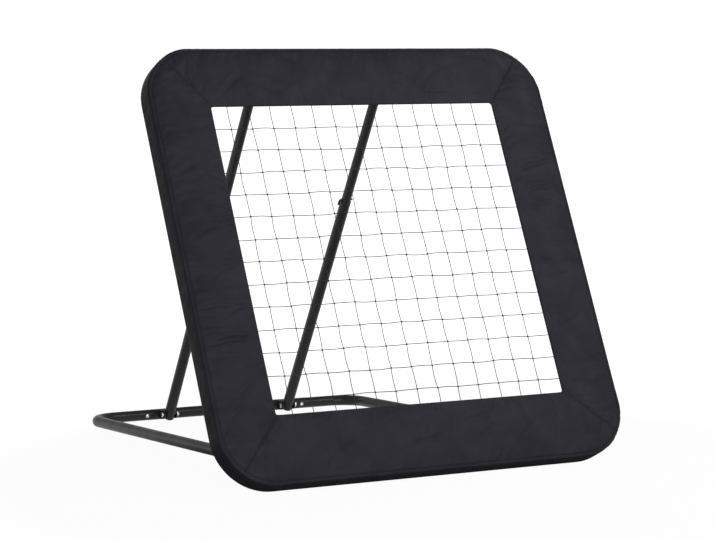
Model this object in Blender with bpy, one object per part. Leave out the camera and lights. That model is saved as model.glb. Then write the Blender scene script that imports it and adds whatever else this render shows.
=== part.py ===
# Soccer rebound net: a padded square net frame that leans back on a floor base and two telescoping struts.
# Metres, +Z up, the net faces -Y. The origin is on the floor, in the middle of the object's plan.
import math

import bmesh
import bpy
from mathutils import Matrix, Vector

# Net
MESH_PITCH = 0.050
NET_LINES = 13
TWINE = 0.0016
ROPE_DIAMETER = 0.006
NET_EDGE_MARGIN = 0.062
ROPE_CORNER_RADIUS = 0.014

# Padded cover, measured from the net's centre and, in depth, from the net's plane
PAD_HALF_WIDTH = 0.481
PAD_CORNER_RADIUS = 0.115
OPENING_SIDE = 0.3445
OPENING_TOP = 0.3455
OPENING_BOTTOM = 0.335
OPENING_CORNER_RADIUS = 0.006
PAD_UNDERSIDE = 0.0087
PAD_EDGE_THICKNESS = 0.009
PAD_CREST = 0.0225
PAD_CREST_PLACE = 0.55
PAD_FRONT_STEPS = 4
PAD_SEAM_HEIGHT = 0.0198
PAD_SEAM_DEPTH = 0.0016
PAD_SEAM_HALF_WIDTH = 0.002
PAD_SHOULDER_RADIUS = 0.010
PAD_INNER_FILLET = 0.004
MITRE_SINK = 0.0025
MITRE_PINCH = 0.35
SKIRT_THICKNESS = 0.012
SKIRT_DEPTH = 0.035
SKIRT_NOTCH_DEPTH = 0.002
SKIRT_NOTCH_WIDTH = 0.046

# Tubes
TUBE_DIAMETER = 0.025
INNER_TUBE_DIAMETER = 0.022
TUBE_WALL = 0.0012
TUBE_SIDES = 16
FRAME_TUBE_SIDES = 12

# Net frame
FRAME_LEAN = math.radians(25.9)
RAIL_INSET = 0.031
RAIL_SETBACK = 0.015
CORNER_LEG = 0.041
SPIGOT_LENGTH = 0.035

# Floor base
BASE_SLOPE = math.radians(2.25)
HINGE_BEFORE_BEND = 0.0155
BASE_BEND_RADIUS = 0.065
BASE_REACH = 0.9495
CROSSBAR_HALF_LENGTH = 0.190
TUBE_END_BEYOND_PIVOT = 0.012

# Struts
STRUT_HALF_SPACING = 0.1575
STRUT_LOWER_LENGTH = 0.598
STRUT_INSERT = 0.300
STRUT_HEAD_BEYOND_PIVOT = 0.012
STRUT_FOOT_BEYOND_PIVOT = 0.0075
SETTINGS = 5
SETTING_PITCH = 0.046
LOOP_PIVOT_HOLE = 0.0096

# Brackets: from the tube's axis to the pivot
FOOT_PIVOT_REACH = 0.031
FOOT_PIVOT_RISE = 0.0027
HINGE_PIVOT_REACH = 0.0379
TOP_PIVOT_REACH = 0.079
TOP_PIVOT_RISE = 0.0024
EAR_THICKNESS = 0.003
EAR_END_RADIUS = 0.0105
EAR_SIDE_PLAY = 0.001
BRACKET_WEB = 0.002

# Fasteners
BOLT_DIAMETER = 0.006
BOLT_HOLE = 0.0066
BOLT_HEAD_FLATS = 0.010
BOLT_HEAD_HEIGHT = 0.004
NUT_HEIGHT = 0.005
SCREW_SHANK = 0.004
SCREW_HEAD_DIAMETER = 0.009
SCREW_HEAD_HEIGHT = 0.0025
SCREW_EDGE_DISTANCE = 0.0165
PIN_DIAMETER = 0.005
PIN_HOLE = 0.0056
PIN_BEND_RADIUS = 0.0045
PIN_HOOK_STANDOFF = 0.0018
PIN_HOOK_DROP = 0.007

# Elastic lacing, ties and plugs
ELASTIC_DIAMETER = 0.004
LACING_TURNS = 12
LACING_ADVANCE = 0.010
LACING_ROOM = 0.009
TIE_WIDTH = 0.025
TIE_THICKNESS = 0.0015
PLUG_LENGTH = 0.0035
PLUG_FLANGE = 0.0018

# Gap between pieces that touch
CLEARANCE = 0.0003

SIDES = ("top", "right", "bottom", "left")

# Derived sizes
TUBE_RADIUS = TUBE_DIAMETER / 2
BORE_RADIUS = TUBE_RADIUS - TUBE_WALL
SPIGOT_RADIUS = BORE_RADIUS - CLEARANCE
INNER_RADIUS = INNER_TUBE_DIAMETER / 2
FLAT_RADIUS = TUBE_RADIUS * math.cos(math.pi / TUBE_SIDES)
RAIL_OFFSET = PAD_HALF_WIDTH - RAIL_INSET
RAIL_BEND_RADIUS = PAD_CORNER_RADIUS - RAIL_INSET
RAIL_STRAIGHT_HALF = RAIL_OFFSET - RAIL_BEND_RADIUS
RAIL_HALF_LENGTH = RAIL_STRAIGHT_HALF - CORNER_LEG
BASE_HALF_WIDTH = RAIL_STRAIGHT_HALF - HINGE_BEFORE_BEND
ROPE_OFFSET = MESH_PITCH * (NET_LINES - 1) / 2 + NET_EDGE_MARGIN
PIN_RADIUS = PIN_DIAMETER / 2
ELASTIC_RADIUS = ELASTIC_DIAMETER / 2
ROPE_RADIUS = ROPE_DIAMETER / 2


def material(name, colour, roughness, metallic=0.0):
    made = bpy.data.materials.new(name)
    made.use_nodes = True
    shader = made.node_tree.nodes["Principled BSDF"]
    shader.inputs["Base Color"].default_value = (*colour, 1.0)
    shader.inputs["Roughness"].default_value = roughness
    shader.inputs["Metallic"].default_value = metallic
    made.diffuse_color = (*colour, 1.0)
    return made


def clear_scene():
    for thing in list(bpy.data.objects):
        bpy.data.objects.remove(thing, do_unlink=True)


def empty(name, location, turn_x=0.0, parent=None):
    made = bpy.data.objects.new(name, None)
    made.location = location
    made.rotation_euler = (turn_x, 0.0, 0.0)
    made.parent = parent
    bpy.context.scene.collection.objects.link(made)
    return made


def add_object(name, bm, finish, parent, smooth_angle=40.0):
    bmesh.ops.recalc_face_normals(bm, faces=bm.faces)
    mesh = bpy.data.meshes.new(name)
    bm.to_mesh(mesh)
    bm.free()
    mesh.materials.append(finish)
    mesh.shade_smooth()
    mesh.set_sharp_from_angle(angle=math.radians(smooth_angle))
    made = bpy.data.objects.new(name, mesh)
    made.parent = parent
    bpy.context.scene.collection.objects.link(made)
    return made


def cut(target, cutter):
    cutter.hide_render = True
    cutter.display_type = "WIRE"
    boolean = target.modifiers.new("cut", "BOOLEAN")
    boolean.operation = "DIFFERENCE"
    boolean.solver = "EXACT"
    boolean.object = cutter


def loft(bm, rings, capped=True):
    """Join rings of equal count into a skin and return the rings' vertices."""
    verts = [[bm.verts.new(point) for point in ring] for ring in rings]
    for near, far in zip(verts, verts[1:]):
        for i in range(len(near)):
            j = (i + 1) % len(near)
            bm.faces.new((near[i], near[j], far[j], far[i]))
    if capped:
        bm.faces.new(verts[0])
        bm.faces.new(verts[-1])
    return verts


def join_rings(bm, outer, inner):
    for i in range(len(outer)):
        j = (i + 1) % len(outer)
        bm.faces.new((outer[i], outer[j], inner[j], inner[i]))


def loop_body(bm, rings):
    """Join rings into one ring-shaped body that closes on itself."""
    verts = [[bm.verts.new(point) for point in ring] for ring in rings]
    for k, near in enumerate(verts):
        far = verts[(k + 1) % len(verts)]
        for i in range(len(near)):
            j = (i + 1) % len(near)
            bm.faces.new((near[i], near[j], far[j], far[i]))


def path_frames(points, up, closed=False):
    """Carry a pair of cross directions along a path without twist."""
    count = len(points)
    frames = []
    side = None
    for k, point in enumerate(points):
        back = k - 1
        ahead = k + 1
        while not closed and back >= 0 and (points[back] - point).length < 1e-6:
            back -= 1
        while not closed and ahead < count and (points[ahead] - point).length < 1e-6:
            ahead += 1
        heading = Vector()
        if closed or back >= 0:
            heading += (point - points[back % count]).normalized()
        if closed or ahead < count:
            heading += (points[ahead % count] - point).normalized()
        heading.normalize()
        if side is None:
            side = heading.cross(up).normalized()
        side = (side - heading * side.dot(heading)).normalized()
        frames.append((point, side, side.cross(heading).normalized()))
    return frames


def path_rings(stations, up, sides, closed=False):
    """Round rings square to a path of (point, radius), with flats facing up and down."""
    rings = []
    frames = path_frames([point for point, radius in stations], up, closed)
    for (point, side, rise), (_, radius) in zip(frames, stations):
        ring = []
        for i in range(sides):
            angle = 2 * math.pi * (i + 0.5) / sides
            ring.append(point + radius * (math.cos(angle) * side + math.sin(angle) * rise))
        rings.append(ring)
    return rings


def hollow_tube(name, outer, inner, finish, parent, up=Vector((0, 0, 1)), sides=TUBE_SIDES):
    bm = bmesh.new()
    skin = loft(bm, path_rings(outer, up, sides), capped=False)
    bore = loft(bm, path_rings(inner, up, sides), capped=False)
    join_rings(bm, skin[0], bore[0])
    join_rings(bm, skin[-1], bore[-1])
    return add_object(name, bm, finish, parent)


def cylinder_cutter(name, start, end, radius, parent, sides=12):
    bm = bmesh.new()
    heading = (end - start).normalized()
    up = Vector((0, 0, 1)) if abs(heading.z) < 0.9 else Vector((0, 1, 0))
    loft(bm, path_rings([(start, radius), (end, radius)], up, sides))
    return add_object(name, bm, None, parent)


def box_cutter(name, low, high, parent, turn=None):
    bm = bmesh.new()
    bmesh.ops.create_cube(bm, size=1.0)
    middle = (low + high) / 2
    size = high - low
    bmesh.ops.scale(bm, vec=size, verts=bm.verts)
    bmesh.ops.translate(bm, vec=middle, verts=bm.verts)
    if turn is not None:
        bmesh.ops.transform(bm, matrix=turn, verts=bm.verts)
    return add_object(name, bm, None, parent)


def arc(centre, radius, start, end, steps, across, along):
    """Points on an arc in the plane of two directions."""
    points = []
    for k in range(steps + 1):
        angle = start + (end - start) * k / steps
        points.append(centre + radius * (math.cos(angle) * across + math.sin(angle) * along))
    return points


def hex_ring(x, centre, flats):
    """Twelve points on a hexagon that faces along X, corners and middles of the flats by turns."""
    ring = []
    for i in range(12):
        reach = flats / 2 if i % 2 else flats / 2 / math.cos(math.pi / 6)
        angle = math.pi * i / 6
        ring.append(Vector((x, centre.y + reach * math.cos(angle), centre.z + reach * math.sin(angle))))
    return ring


def round_ring(x, centre, radius):
    ring = []
    for i in range(12):
        angle = math.pi * i / 6
        ring.append(Vector((x, centre.y + radius * math.cos(angle), centre.z + radius * math.sin(angle))))
    return ring


def add_bolt(bm, centre, grip):
    """A hexagon bolt along X, its head on the -X side of a grip centred on the pivot."""
    head = centre.x - grip / 2 - CLEARANCE
    tip = centre.x + grip / 2 + CLEARANCE * 2 + NUT_HEIGHT + BOLT_DIAMETER * 0.4
    chamfer = BOLT_DIAMETER * 0.1
    loft(bm, [
        round_ring(head - BOLT_HEAD_HEIGHT, centre, BOLT_HEAD_FLATS * 0.45),
        hex_ring(head - BOLT_HEAD_HEIGHT + chamfer, centre, BOLT_HEAD_FLATS),
        hex_ring(head, centre, BOLT_HEAD_FLATS),
        round_ring(head, centre, BOLT_DIAMETER / 2),
        round_ring(tip - chamfer, centre, BOLT_DIAMETER / 2),
        round_ring(tip, centre, BOLT_DIAMETER / 2 - chamfer),
    ])


def add_nut(bm, centre, grip):
    start = centre.x + grip / 2 + CLEARANCE
    end = start + NUT_HEIGHT
    chamfer = NUT_HEIGHT * 0.15
    bore = BOLT_DIAMETER / 2 + CLEARANCE
    skin = loft(bm, [
        hex_ring(start, centre, BOLT_HEAD_FLATS),
        hex_ring(end - chamfer, centre, BOLT_HEAD_FLATS),
        round_ring(end, centre, BOLT_HEAD_FLATS * 0.45),
    ], capped=False)
    hole = loft(bm, [round_ring(start, centre, bore), round_ring(end, centre, bore)], capped=False)
    join_rings(bm, skin[0], hole[0])
    join_rings(bm, skin[-1], hole[-1])


def bolt_and_nut(name, label, centre, grip, finish, parent):
    bolt = bmesh.new()
    add_bolt(bolt, centre, grip)
    add_object(name + "_bolt_" + label, bolt, finish, parent)
    nut = bmesh.new()
    add_nut(nut, centre, grip)
    add_object(name + "_nut_" + label, nut, finish, parent)


def dome_screw(name, surface, outward, finish, parent):
    """A dome-headed screw whose head rests on a tube and whose shank reaches through both walls."""
    bm = bmesh.new()
    stations = [
        (surface + outward * (SCREW_HEAD_HEIGHT + CLEARANCE), SCREW_HEAD_DIAMETER * 0.25),
        (surface + outward * (SCREW_HEAD_HEIGHT * 0.6 + CLEARANCE), SCREW_HEAD_DIAMETER * 0.42),
        (surface + outward * CLEARANCE, SCREW_HEAD_DIAMETER / 2),
        (surface + outward * CLEARANCE, SCREW_SHANK / 2),
        (surface - outward * (TUBE_WALL * 3), SCREW_SHANK / 2),
    ]
    loft(bm, path_rings(stations, Vector((1, 0, 0)), 8))
    return add_object(name, bm, finish, parent)


def drill_for_screw(target, name, surface, outward, parent):
    start = surface + outward * TUBE_WALL
    end = surface - outward * TUBE_WALL * 4
    cut(target, cylinder_cutter(name, start, end, SCREW_SHANK / 2 + CLEARANCE, parent, sides=8))


def u_bracket(name, x, root, pivot, gap, finish, parent):
    """Two ears on a web, saddled on a tube along X through root and drilled at the pivot."""
    reach = pivot - root
    length = reach.length
    turn = Matrix.Rotation(math.atan2(reach.z, reach.y), 4, "X")
    place = Matrix.Translation(root) @ turn
    half_width = gap / 2 + EAR_THICKNESS
    outline = [Vector((0, 0, -EAR_END_RADIUS)), Vector((0, length, -EAR_END_RADIUS))]
    centre = Vector((0, length, 0))
    outline += arc(centre, EAR_END_RADIUS, -math.pi / 2, math.pi / 2, 8, Vector((0, 1, 0)), Vector((0, 0, 1)))[1:]
    outline.append(Vector((0, 0, EAR_END_RADIUS)))
    bm = bmesh.new()
    rings = []
    for side in (-half_width, half_width):
        rings.append([place @ (point + Vector((x + side, 0, 0))) for point in outline])
    loft(bm, rings)
    bracket = add_object(name, bm, finish, parent)
    across = Vector((half_width * 2, 0, 0))
    middle = root + Vector((x, 0, 0))
    saddle = cylinder_cutter(
        name + "_saddle", middle - across, middle + across, TUBE_RADIUS + CLEARANCE, parent, TUBE_SIDES)
    cut(bracket, saddle)
    web_face = TUBE_RADIUS + CLEARANCE + BRACKET_WEB
    slot_low = Vector((x - gap / 2, web_face, -EAR_END_RADIUS * 2))
    slot_high = Vector((x + gap / 2, length + EAR_END_RADIUS * 2, EAR_END_RADIUS * 2))
    cut(bracket, box_cutter(name + "_slot", slot_low, slot_high, parent, place))
    hole_centre = pivot + Vector((x, 0, 0))
    hole = cylinder_cutter(name + "_hole", hole_centre - across, hole_centre + across, BOLT_HOLE / 2, parent)
    cut(bracket, hole)
    return bracket


def end_plug(name, end, outward, radius, bore, finish, parent):
    """A push-in end plug: a short neck in the bore and a domed flange on the tube's end."""
    neck = bore - CLEARANCE
    bm = bmesh.new()
    stations = [
        (end - outward * PLUG_LENGTH, neck),
        (end + outward * CLEARANCE, neck),
        (end + outward * CLEARANCE, radius),
        (end + outward * (CLEARANCE + PLUG_FLANGE * 0.5), radius),
        (end + outward * (CLEARANCE + PLUG_FLANGE), radius * 0.75),
    ]
    loft(bm, path_rings(stations, Vector((1, 0, 0)), TUBE_SIDES))
    return add_object(name, bm, finish, parent)


def section_arc(share, offset, height, radius, start, end, steps):
    """An arc of the cover's section, in degrees, as (share of the width, offset, height)."""
    points = []
    for k in range(steps + 1):
        angle = math.radians(start + (end - start) * k / steps)
        points.append((share, offset + radius * math.cos(angle), height + radius * math.sin(angle)))
    return points


def front_height(share):
    """The crown of the front, from the opening's edge over the crest to the outer seam."""
    if share < PAD_CREST_PLACE:
        low = PAD_UNDERSIDE + PAD_EDGE_THICKNESS
        run = (PAD_CREST_PLACE - share) / PAD_CREST_PLACE
    else:
        low = PAD_SEAM_HEIGHT
        run = (share - PAD_CREST_PLACE) / (1 - PAD_CREST_PLACE)
    return PAD_CREST - (PAD_CREST - low) * run ** 2


def cover_section(skirt_depth, sink=0.0):
    """The cover's section from the opening over the front and round the skirt to the underside.

    Each point is (share of the width, offset, height in front of the net's plane). The front is drawn in by
    the sink at its crest and less below.
    """
    rim = PAD_EDGE_THICKNESS / 2
    hem = SKIRT_THICKNESS / 2
    shoulder = PAD_SHOULDER_RADIUS
    waist = PAD_UNDERSIDE + rim
    points = section_arc(0, rim, waist, rim, 270, 90, 4)
    for k in range(1, PAD_FRONT_STEPS):
        share = k / PAD_FRONT_STEPS
        points.append((share, 0.0, front_height(share)))
    points.append((1, -shoulder - 2 * PAD_SEAM_HALF_WIDTH, PAD_SEAM_HEIGHT))
    points.append((1, -shoulder - PAD_SEAM_HALF_WIDTH, PAD_SEAM_HEIGHT - PAD_SEAM_DEPTH))
    points += section_arc(1, -shoulder, PAD_SEAM_HEIGHT - shoulder, shoulder, 90, 0, 2)
    points += section_arc(1, -hem, hem - skirt_depth, hem, 0, -180, 4)
    points.append((1, -SKIRT_THICKNESS, PAD_UNDERSIDE - PAD_INNER_FILLET))
    points.append((1, -SKIRT_THICKNESS - PAD_INNER_FILLET, PAD_UNDERSIDE))
    drawn = []
    for share, offset, height in points:
        pull = max(0.0, (height - waist) / (PAD_CREST - waist))
        drawn.append((share, offset, height - sink * pull))
    return drawn


def cover_reach(down, forward):
    """How far the cover's outer edge reaches from the net's centre along a direction in the side view."""
    outer = [point for point in cover_section(SKIRT_DEPTH) if point[0] == 1]
    return max((PAD_HALF_WIDTH + offset) * down + height * forward for share, offset, height in outer)


# Places, in the side view, measured from the crossbar's axis and then moved to the middle of the plan
LEAN_SIN = math.sin(FRAME_LEAN)
LEAN_COS = math.cos(FRAME_LEAN)
HINGE_FROM_CROSSBAR = -BASE_REACH * math.cos(BASE_SLOPE)
NET_FROM_CROSSBAR = HINGE_FROM_CROSSBAR - HINGE_PIVOT_REACH + RAIL_OFFSET * LEAN_SIN - RAIL_SETBACK * LEAN_COS
CROSSBAR_Y = (cover_reach(LEAN_SIN, LEAN_COS) - NET_FROM_CROSSBAR - FLAT_RADIUS) / 2
CROSSBAR = Vector((0, CROSSBAR_Y, FLAT_RADIUS))
HINGE = Vector((0, CROSSBAR_Y + HINGE_FROM_CROSSBAR, FLAT_RADIUS + BASE_REACH * math.sin(BASE_SLOPE)))
NET_CENTRE = Vector((0, CROSSBAR_Y + NET_FROM_CROSSBAR, cover_reach(LEAN_COS, -LEAN_SIN)))
TO_FRAME = Matrix.Rotation(FRAME_LEAN, 4, "X") @ Matrix.Translation(-NET_CENTRE)
TOP_RAIL = NET_CENTRE + Vector((0, RAIL_OFFSET * LEAN_SIN + RAIL_SETBACK * LEAN_COS,
                                RAIL_OFFSET * LEAN_COS - RAIL_SETBACK * LEAN_SIN))
TOP_PIVOT = TOP_RAIL + Vector((0, TOP_PIVOT_REACH, TOP_PIVOT_RISE))
FOOT_PIVOT = CROSSBAR + Vector((0, -FOOT_PIVOT_REACH, FOOT_PIVOT_RISE))
STRUT_SPAN = (TOP_PIVOT - FOOT_PIVOT).length
STRUT_TURN = math.atan2(FOOT_PIVOT.y - TOP_PIVOT.y, TOP_PIVOT.z - FOOT_PIVOT.z)


def build_crossbar(finish, parent):
    half = CROSSBAR_HALF_LENGTH
    spigot_end = half + SPIGOT_LENGTH
    outer = []
    inner = []
    for x, radius in ((-spigot_end, SPIGOT_RADIUS), (-half, SPIGOT_RADIUS), (-half, TUBE_RADIUS),
                      (half, TUBE_RADIUS), (half, SPIGOT_RADIUS), (spigot_end, SPIGOT_RADIUS)):
        outer.append((CROSSBAR + Vector((x, 0, 0)), radius))
    for x, radius in ((-spigot_end, SPIGOT_RADIUS), (spigot_end, SPIGOT_RADIUS)):
        inner.append((CROSSBAR + Vector((x, 0, 0)), radius - TUBE_WALL))
    return hollow_tube("base_crossbar", outer, inner, finish, parent)


def base_side_path(side):
    """From the crossbar joint, round the rear bend and up the slope to the front hinge."""
    forward = Vector((0, -math.cos(BASE_SLOPE), math.sin(BASE_SLOPE)))
    outward = Vector((side, 0, 0))
    radius = BASE_BEND_RADIUS
    centre = CROSSBAR + outward * (BASE_HALF_WIDTH - radius) + forward * radius
    points = [CROSSBAR + outward * (CROSSBAR_HALF_LENGTH + CLEARANCE)]
    points += arc(centre, radius, -math.pi / 2, 0, 6, outward, forward)
    front = CROSSBAR + outward * BASE_HALF_WIDTH + forward * (BASE_REACH + TUBE_END_BEYOND_PIVOT)
    points.append(front)
    return points, forward


def build_base(tube_finish, zinc, plastic, root):
    crossbar = build_crossbar(tube_finish, root)
    strut_gap = TUBE_DIAMETER + 2 * EAR_SIDE_PLAY
    for side, label in ((-1, "left"), (1, "right")):
        path, forward = base_side_path(side)
        rail = hollow_tube(
            "base_side_" + label,
            [(point, TUBE_RADIUS) for point in path],
            [(point, BORE_RADIUS) for point in path],
            tube_finish, root)
        screw_x = side * (CROSSBAR_HALF_LENGTH + SCREW_EDGE_DISTANCE)
        surface = CROSSBAR + Vector((screw_x, -FLAT_RADIUS, 0))
        outward = Vector((0, -1, 0))
        dome_screw("base_joint_screw_" + label, surface, outward, zinc, root)
        drill_for_screw(rail, "screw_hole_outer_" + label, surface, outward, root)
        drill_for_screw(crossbar, "screw_hole_inner_" + label, surface, outward, root)
        hinge_centre = HINGE + Vector((side * BASE_HALF_WIDTH, 0, 0))
        across = Vector((TUBE_DIAMETER, 0, 0))
        hole = cylinder_cutter(
            "hinge_hole_" + label, hinge_centre - across, hinge_centre + across, BOLT_HOLE / 2, root)
        cut(rail, hole)
        end_plug("base_end_plug_" + label, path[-1], forward, TUBE_RADIUS, BORE_RADIUS, plastic, root)
        x = side * STRUT_HALF_SPACING
        u_bracket("foot_bracket_" + label, x, CROSSBAR, FOOT_PIVOT, strut_gap, tube_finish, root)
        pivot = FOOT_PIVOT + Vector((x, 0, 0))
        bolt_and_nut("foot_pivot", label, pivot, strut_gap + 2 * EAR_THICKNESS, zinc, root)


def frame_turn(side):
    """Turn a plan drawn for the top side, (along, outward), to another side of the frame."""
    turns = {"top": 0, "left": 1, "bottom": 2, "right": 3}
    return Matrix.Rotation(-turns[side] * math.pi / 2, 4, "Y")


def frame_point(side, along, outward, depth):
    """Frame coordinates: X across, Y behind the net's plane, Z up the frame."""
    return frame_turn(side) @ Vector((along, depth, outward))


def build_frame_tubes(tube_finish, frame):
    depth = RAIL_SETBACK
    back = Vector((0, 1, 0))
    half = RAIL_HALF_LENGTH
    corner = RAIL_OFFSET - RAIL_BEND_RADIUS
    for side in SIDES:
        ends = [frame_point(side, along, RAIL_OFFSET, depth) for along in (-half, half)]
        hollow_tube(
            "frame_rail_" + side,
            [(point, TUBE_RADIUS) for point in ends],
            [(point, BORE_RADIUS) for point in ends],
            tube_finish, frame, up=back, sides=FRAME_TUBE_SIDES)
    names = {"top": "upper_right", "right": "lower_right", "bottom": "lower_left", "left": "upper_left"}
    for side, label in names.items():
        start = half + CLEARANCE
        turn = frame_turn(side)
        centre = turn @ Vector((corner, depth, corner))
        across = turn @ Vector((1, 0, 0))
        upward = turn @ Vector((0, 0, 1))
        bend = arc(centre, RAIL_BEND_RADIUS, math.pi / 2, 0, 6, across, upward)
        ends = (half - SPIGOT_LENGTH, start)
        first = [turn @ Vector((along, depth, RAIL_OFFSET)) for along in ends]
        last = [turn @ Vector((RAIL_OFFSET, depth, along)) for along in reversed(ends)]
        outer = [(first[0], SPIGOT_RADIUS), (first[1], SPIGOT_RADIUS), (first[1], TUBE_RADIUS)]
        outer += [(point, TUBE_RADIUS) for point in bend]
        outer += [(last[0], TUBE_RADIUS), (last[0], SPIGOT_RADIUS), (last[1], SPIGOT_RADIUS)]
        inner = [(point, SPIGOT_RADIUS - TUBE_WALL) for point in (first[0], *bend, last[1])]
        name = "frame_corner_" + label
        hollow_tube(name, outer, inner, tube_finish, frame, up=back, sides=FRAME_TUBE_SIDES)


def build_frame_brackets(tube_finish, zinc, frame):
    top_rail = TO_FRAME @ TOP_RAIL
    top_pivot = TO_FRAME @ TOP_PIVOT
    bottom_rail = Vector((0, RAIL_SETBACK, -RAIL_OFFSET))
    hinge = TO_FRAME @ HINGE
    strut_gap = INNER_TUBE_DIAMETER + 2 * EAR_SIDE_PLAY
    hinge_gap = TUBE_DIAMETER + 2 * EAR_SIDE_PLAY
    for side, label in ((-1, "left"), (1, "right")):
        x = side * STRUT_HALF_SPACING
        u_bracket("strut_bracket_" + label, x, top_rail, top_pivot, strut_gap, tube_finish, frame)
        pivot = top_pivot + Vector((x, 0, 0))
        bolt_and_nut("strut_pivot", label, pivot, strut_gap + 2 * EAR_THICKNESS, zinc, frame)
        x = side * BASE_HALF_WIDTH
        u_bracket("hinge_bracket_" + label, x, bottom_rail, hinge, hinge_gap, tube_finish, frame)
        pivot = hinge + Vector((x, 0, 0))
        bolt_and_nut("hinge", label, pivot, hinge_gap + 2 * EAR_THICKNESS, zinc, frame)


def build_net(finish, frame):
    """One knotted sheet of square meshes: a grid of strands that end on the border rope."""
    half = TWINE / 2
    end = ROPE_OFFSET - ROPE_RADIUS - CLEARANCE
    lines = [(k - (NET_LINES - 1) / 2) * MESH_PITCH for k in range(NET_LINES)]
    marks = [-end]
    for line in lines:
        marks += [line - half, line + half]
    marks.append(end)
    bm = bmesh.new()
    corners = {}

    def corner(i, k, depth):
        key = (i, k, depth)
        if key not in corners:
            corners[key] = bm.verts.new((marks[i], depth, marks[k]))
        return corners[key]

    spans = range(len(marks) - 1)
    solid = {(i, k) for i in spans for k in spans if i % 2 or k % 2}
    for i, k in solid:
        for depth in (-half, half):
            bm.faces.new([corner(i + a, k + b, depth) for a, b in ((0, 0), (1, 0), (1, 1), (0, 1))])
        for (a, b), (c, d), neighbour in (
                ((0, 0), (1, 0), (i, k - 1)), ((1, 0), (1, 1), (i + 1, k)),
                ((1, 1), (0, 1), (i, k + 1)), ((0, 1), (0, 0), (i - 1, k))):
            if neighbour not in solid:
                bm.faces.new((corner(i + a, k + b, -half), corner(i + c, k + d, -half),
                              corner(i + c, k + d, half), corner(i + a, k + b, half)))
    return add_object("net", bm, finish, frame)


def build_rope(finish, frame):
    points = []
    inset = ROPE_OFFSET - ROPE_CORNER_RADIUS
    for quarter, (x, z) in enumerate(((inset, inset), (-inset, inset), (-inset, -inset), (inset, -inset))):
        start = quarter * math.pi / 2
        points += arc(Vector((x, 0, z)), ROPE_CORNER_RADIUS, start, start + math.pi / 2, 3,
                      Vector((1, 0, 0)), Vector((0, 0, 1)))
    bm = bmesh.new()
    loop_body(bm, path_rings([(point, ROPE_RADIUS) for point in points], Vector((0, 1, 0)), 8, closed=True))
    return add_object("net_border_rope", bm, finish, frame)


def belt(first, first_radius, second, second_radius, first_steps, second_steps):
    """Points of a belt round two circles, given as (outward, depth)."""
    span = second - first
    heading = math.atan2(span.y, span.x)
    lean = math.asin((second_radius - first_radius) / span.length)
    points = []
    start = heading + math.pi / 2 + lean
    sweep = math.pi - 2 * lean
    for k in range(first_steps + 1):
        angle = start + sweep * k / first_steps
        points.append(first + first_radius * Vector((math.cos(angle), math.sin(angle))))
    start = heading - math.pi / 2 - lean
    sweep = math.pi + 2 * lean
    for k in range(second_steps + 1):
        angle = start + sweep * k / second_steps
        points.append(second + second_radius * Vector((math.cos(angle), math.sin(angle))))
    return points


def rail_is_free(side, along):
    """Whether a turn of the lacing fits on a rail there, beside its tie and brackets."""
    taken = [(0.0, TIE_WIDTH / 2)]
    if side == "top":
        half_width = INNER_TUBE_DIAMETER / 2 + EAR_SIDE_PLAY + EAR_THICKNESS
        taken += [(-STRUT_HALF_SPACING, half_width), (STRUT_HALF_SPACING, half_width)]
    return all(abs(along - centre) > half_width + LACING_ROOM for centre, half_width in taken)


def build_lacing(finish, frame):
    """An elastic cord on each side that spirals round the border rope and the rail, one turn to a mesh.

    Where the rail is taken, the cord runs straight on to the next free place.
    """
    rope = Vector((ROPE_OFFSET, 0))
    rail = Vector((RAIL_OFFSET, RAIL_SETBACK))
    rope_steps = 3
    rail_steps = 4
    rope_turn = (ROPE_RADIUS + CLEARANCE + ELASTIC_RADIUS) / math.cos(math.pi / 2 / rope_steps)
    rail_turn = (TUBE_RADIUS + CLEARANCE + ELASTIC_RADIUS) / math.cos(math.pi / 2 / rail_steps)
    outline = belt(rope, rope_turn, rail, rail_turn, rope_steps, rail_steps)
    rope_part = outline[:rope_steps + 1]
    rail_part = outline[rope_steps + 1:]
    for side in SIDES:
        stations = []
        for k in range(LACING_TURNS):
            rope_place = (k - (LACING_TURNS - 1) / 2) * MESH_PITCH
            rail_place = rope_place + MESH_PITCH / 2
            if rail_is_free(side, rope_place - MESH_PITCH / 2):
                for i, point in enumerate(rope_part):
                    along = rope_place + LACING_ADVANCE * (i / rope_steps - 0.5) / 2
                    stations.append((frame_point(side, along, point.x, point.y), ELASTIC_RADIUS))
            if k < LACING_TURNS - 1 and rail_is_free(side, rail_place):
                for i, point in enumerate(rail_part):
                    along = rail_place + LACING_ADVANCE * (i / rail_steps - 0.5)
                    stations.append((frame_point(side, along, point.x, point.y), ELASTIC_RADIUS))
        bm = bmesh.new()
        loft(bm, path_rings(stations, frame_turn(side) @ Vector((1, 0, 0)), 4))
        add_object("elastic_lacing_" + side, bm, finish, frame)


def build_ties(finish, frame):
    """A webbing tie sewn under each side of the cover and passed round the back of its rail."""
    steps = 6
    inner_radius = (TUBE_RADIUS + CLEARANCE) / math.cos(math.pi / 2 / steps)
    rail = Vector((0, RAIL_SETBACK, RAIL_OFFSET))
    seat = CLEARANCE - PAD_UNDERSIDE
    outline_parts = []
    for radius in (inner_radius, inner_radius + TIE_THICKNESS):
        line = [Vector((0, seat, RAIL_OFFSET - radius))]
        line += arc(rail, radius, -math.pi, 0, steps, Vector((0, 0, 1)), Vector((0, -1, 0)))
        line.append(Vector((0, seat, RAIL_OFFSET + radius)))
        outline_parts.append(line)
    outline = outline_parts[0] + outline_parts[1][::-1]
    for side in SIDES:
        edges = []
        for edge in (-TIE_WIDTH / 2, TIE_WIDTH / 2):
            edges.append([frame_turn(side) @ (point + Vector((edge, 0, 0))) for point in outline])
        bm = bmesh.new()
        add_band(bm, edges, len(outline_parts[0]))
        add_object("pad_tie_" + side, bm, finish, frame)


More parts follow.
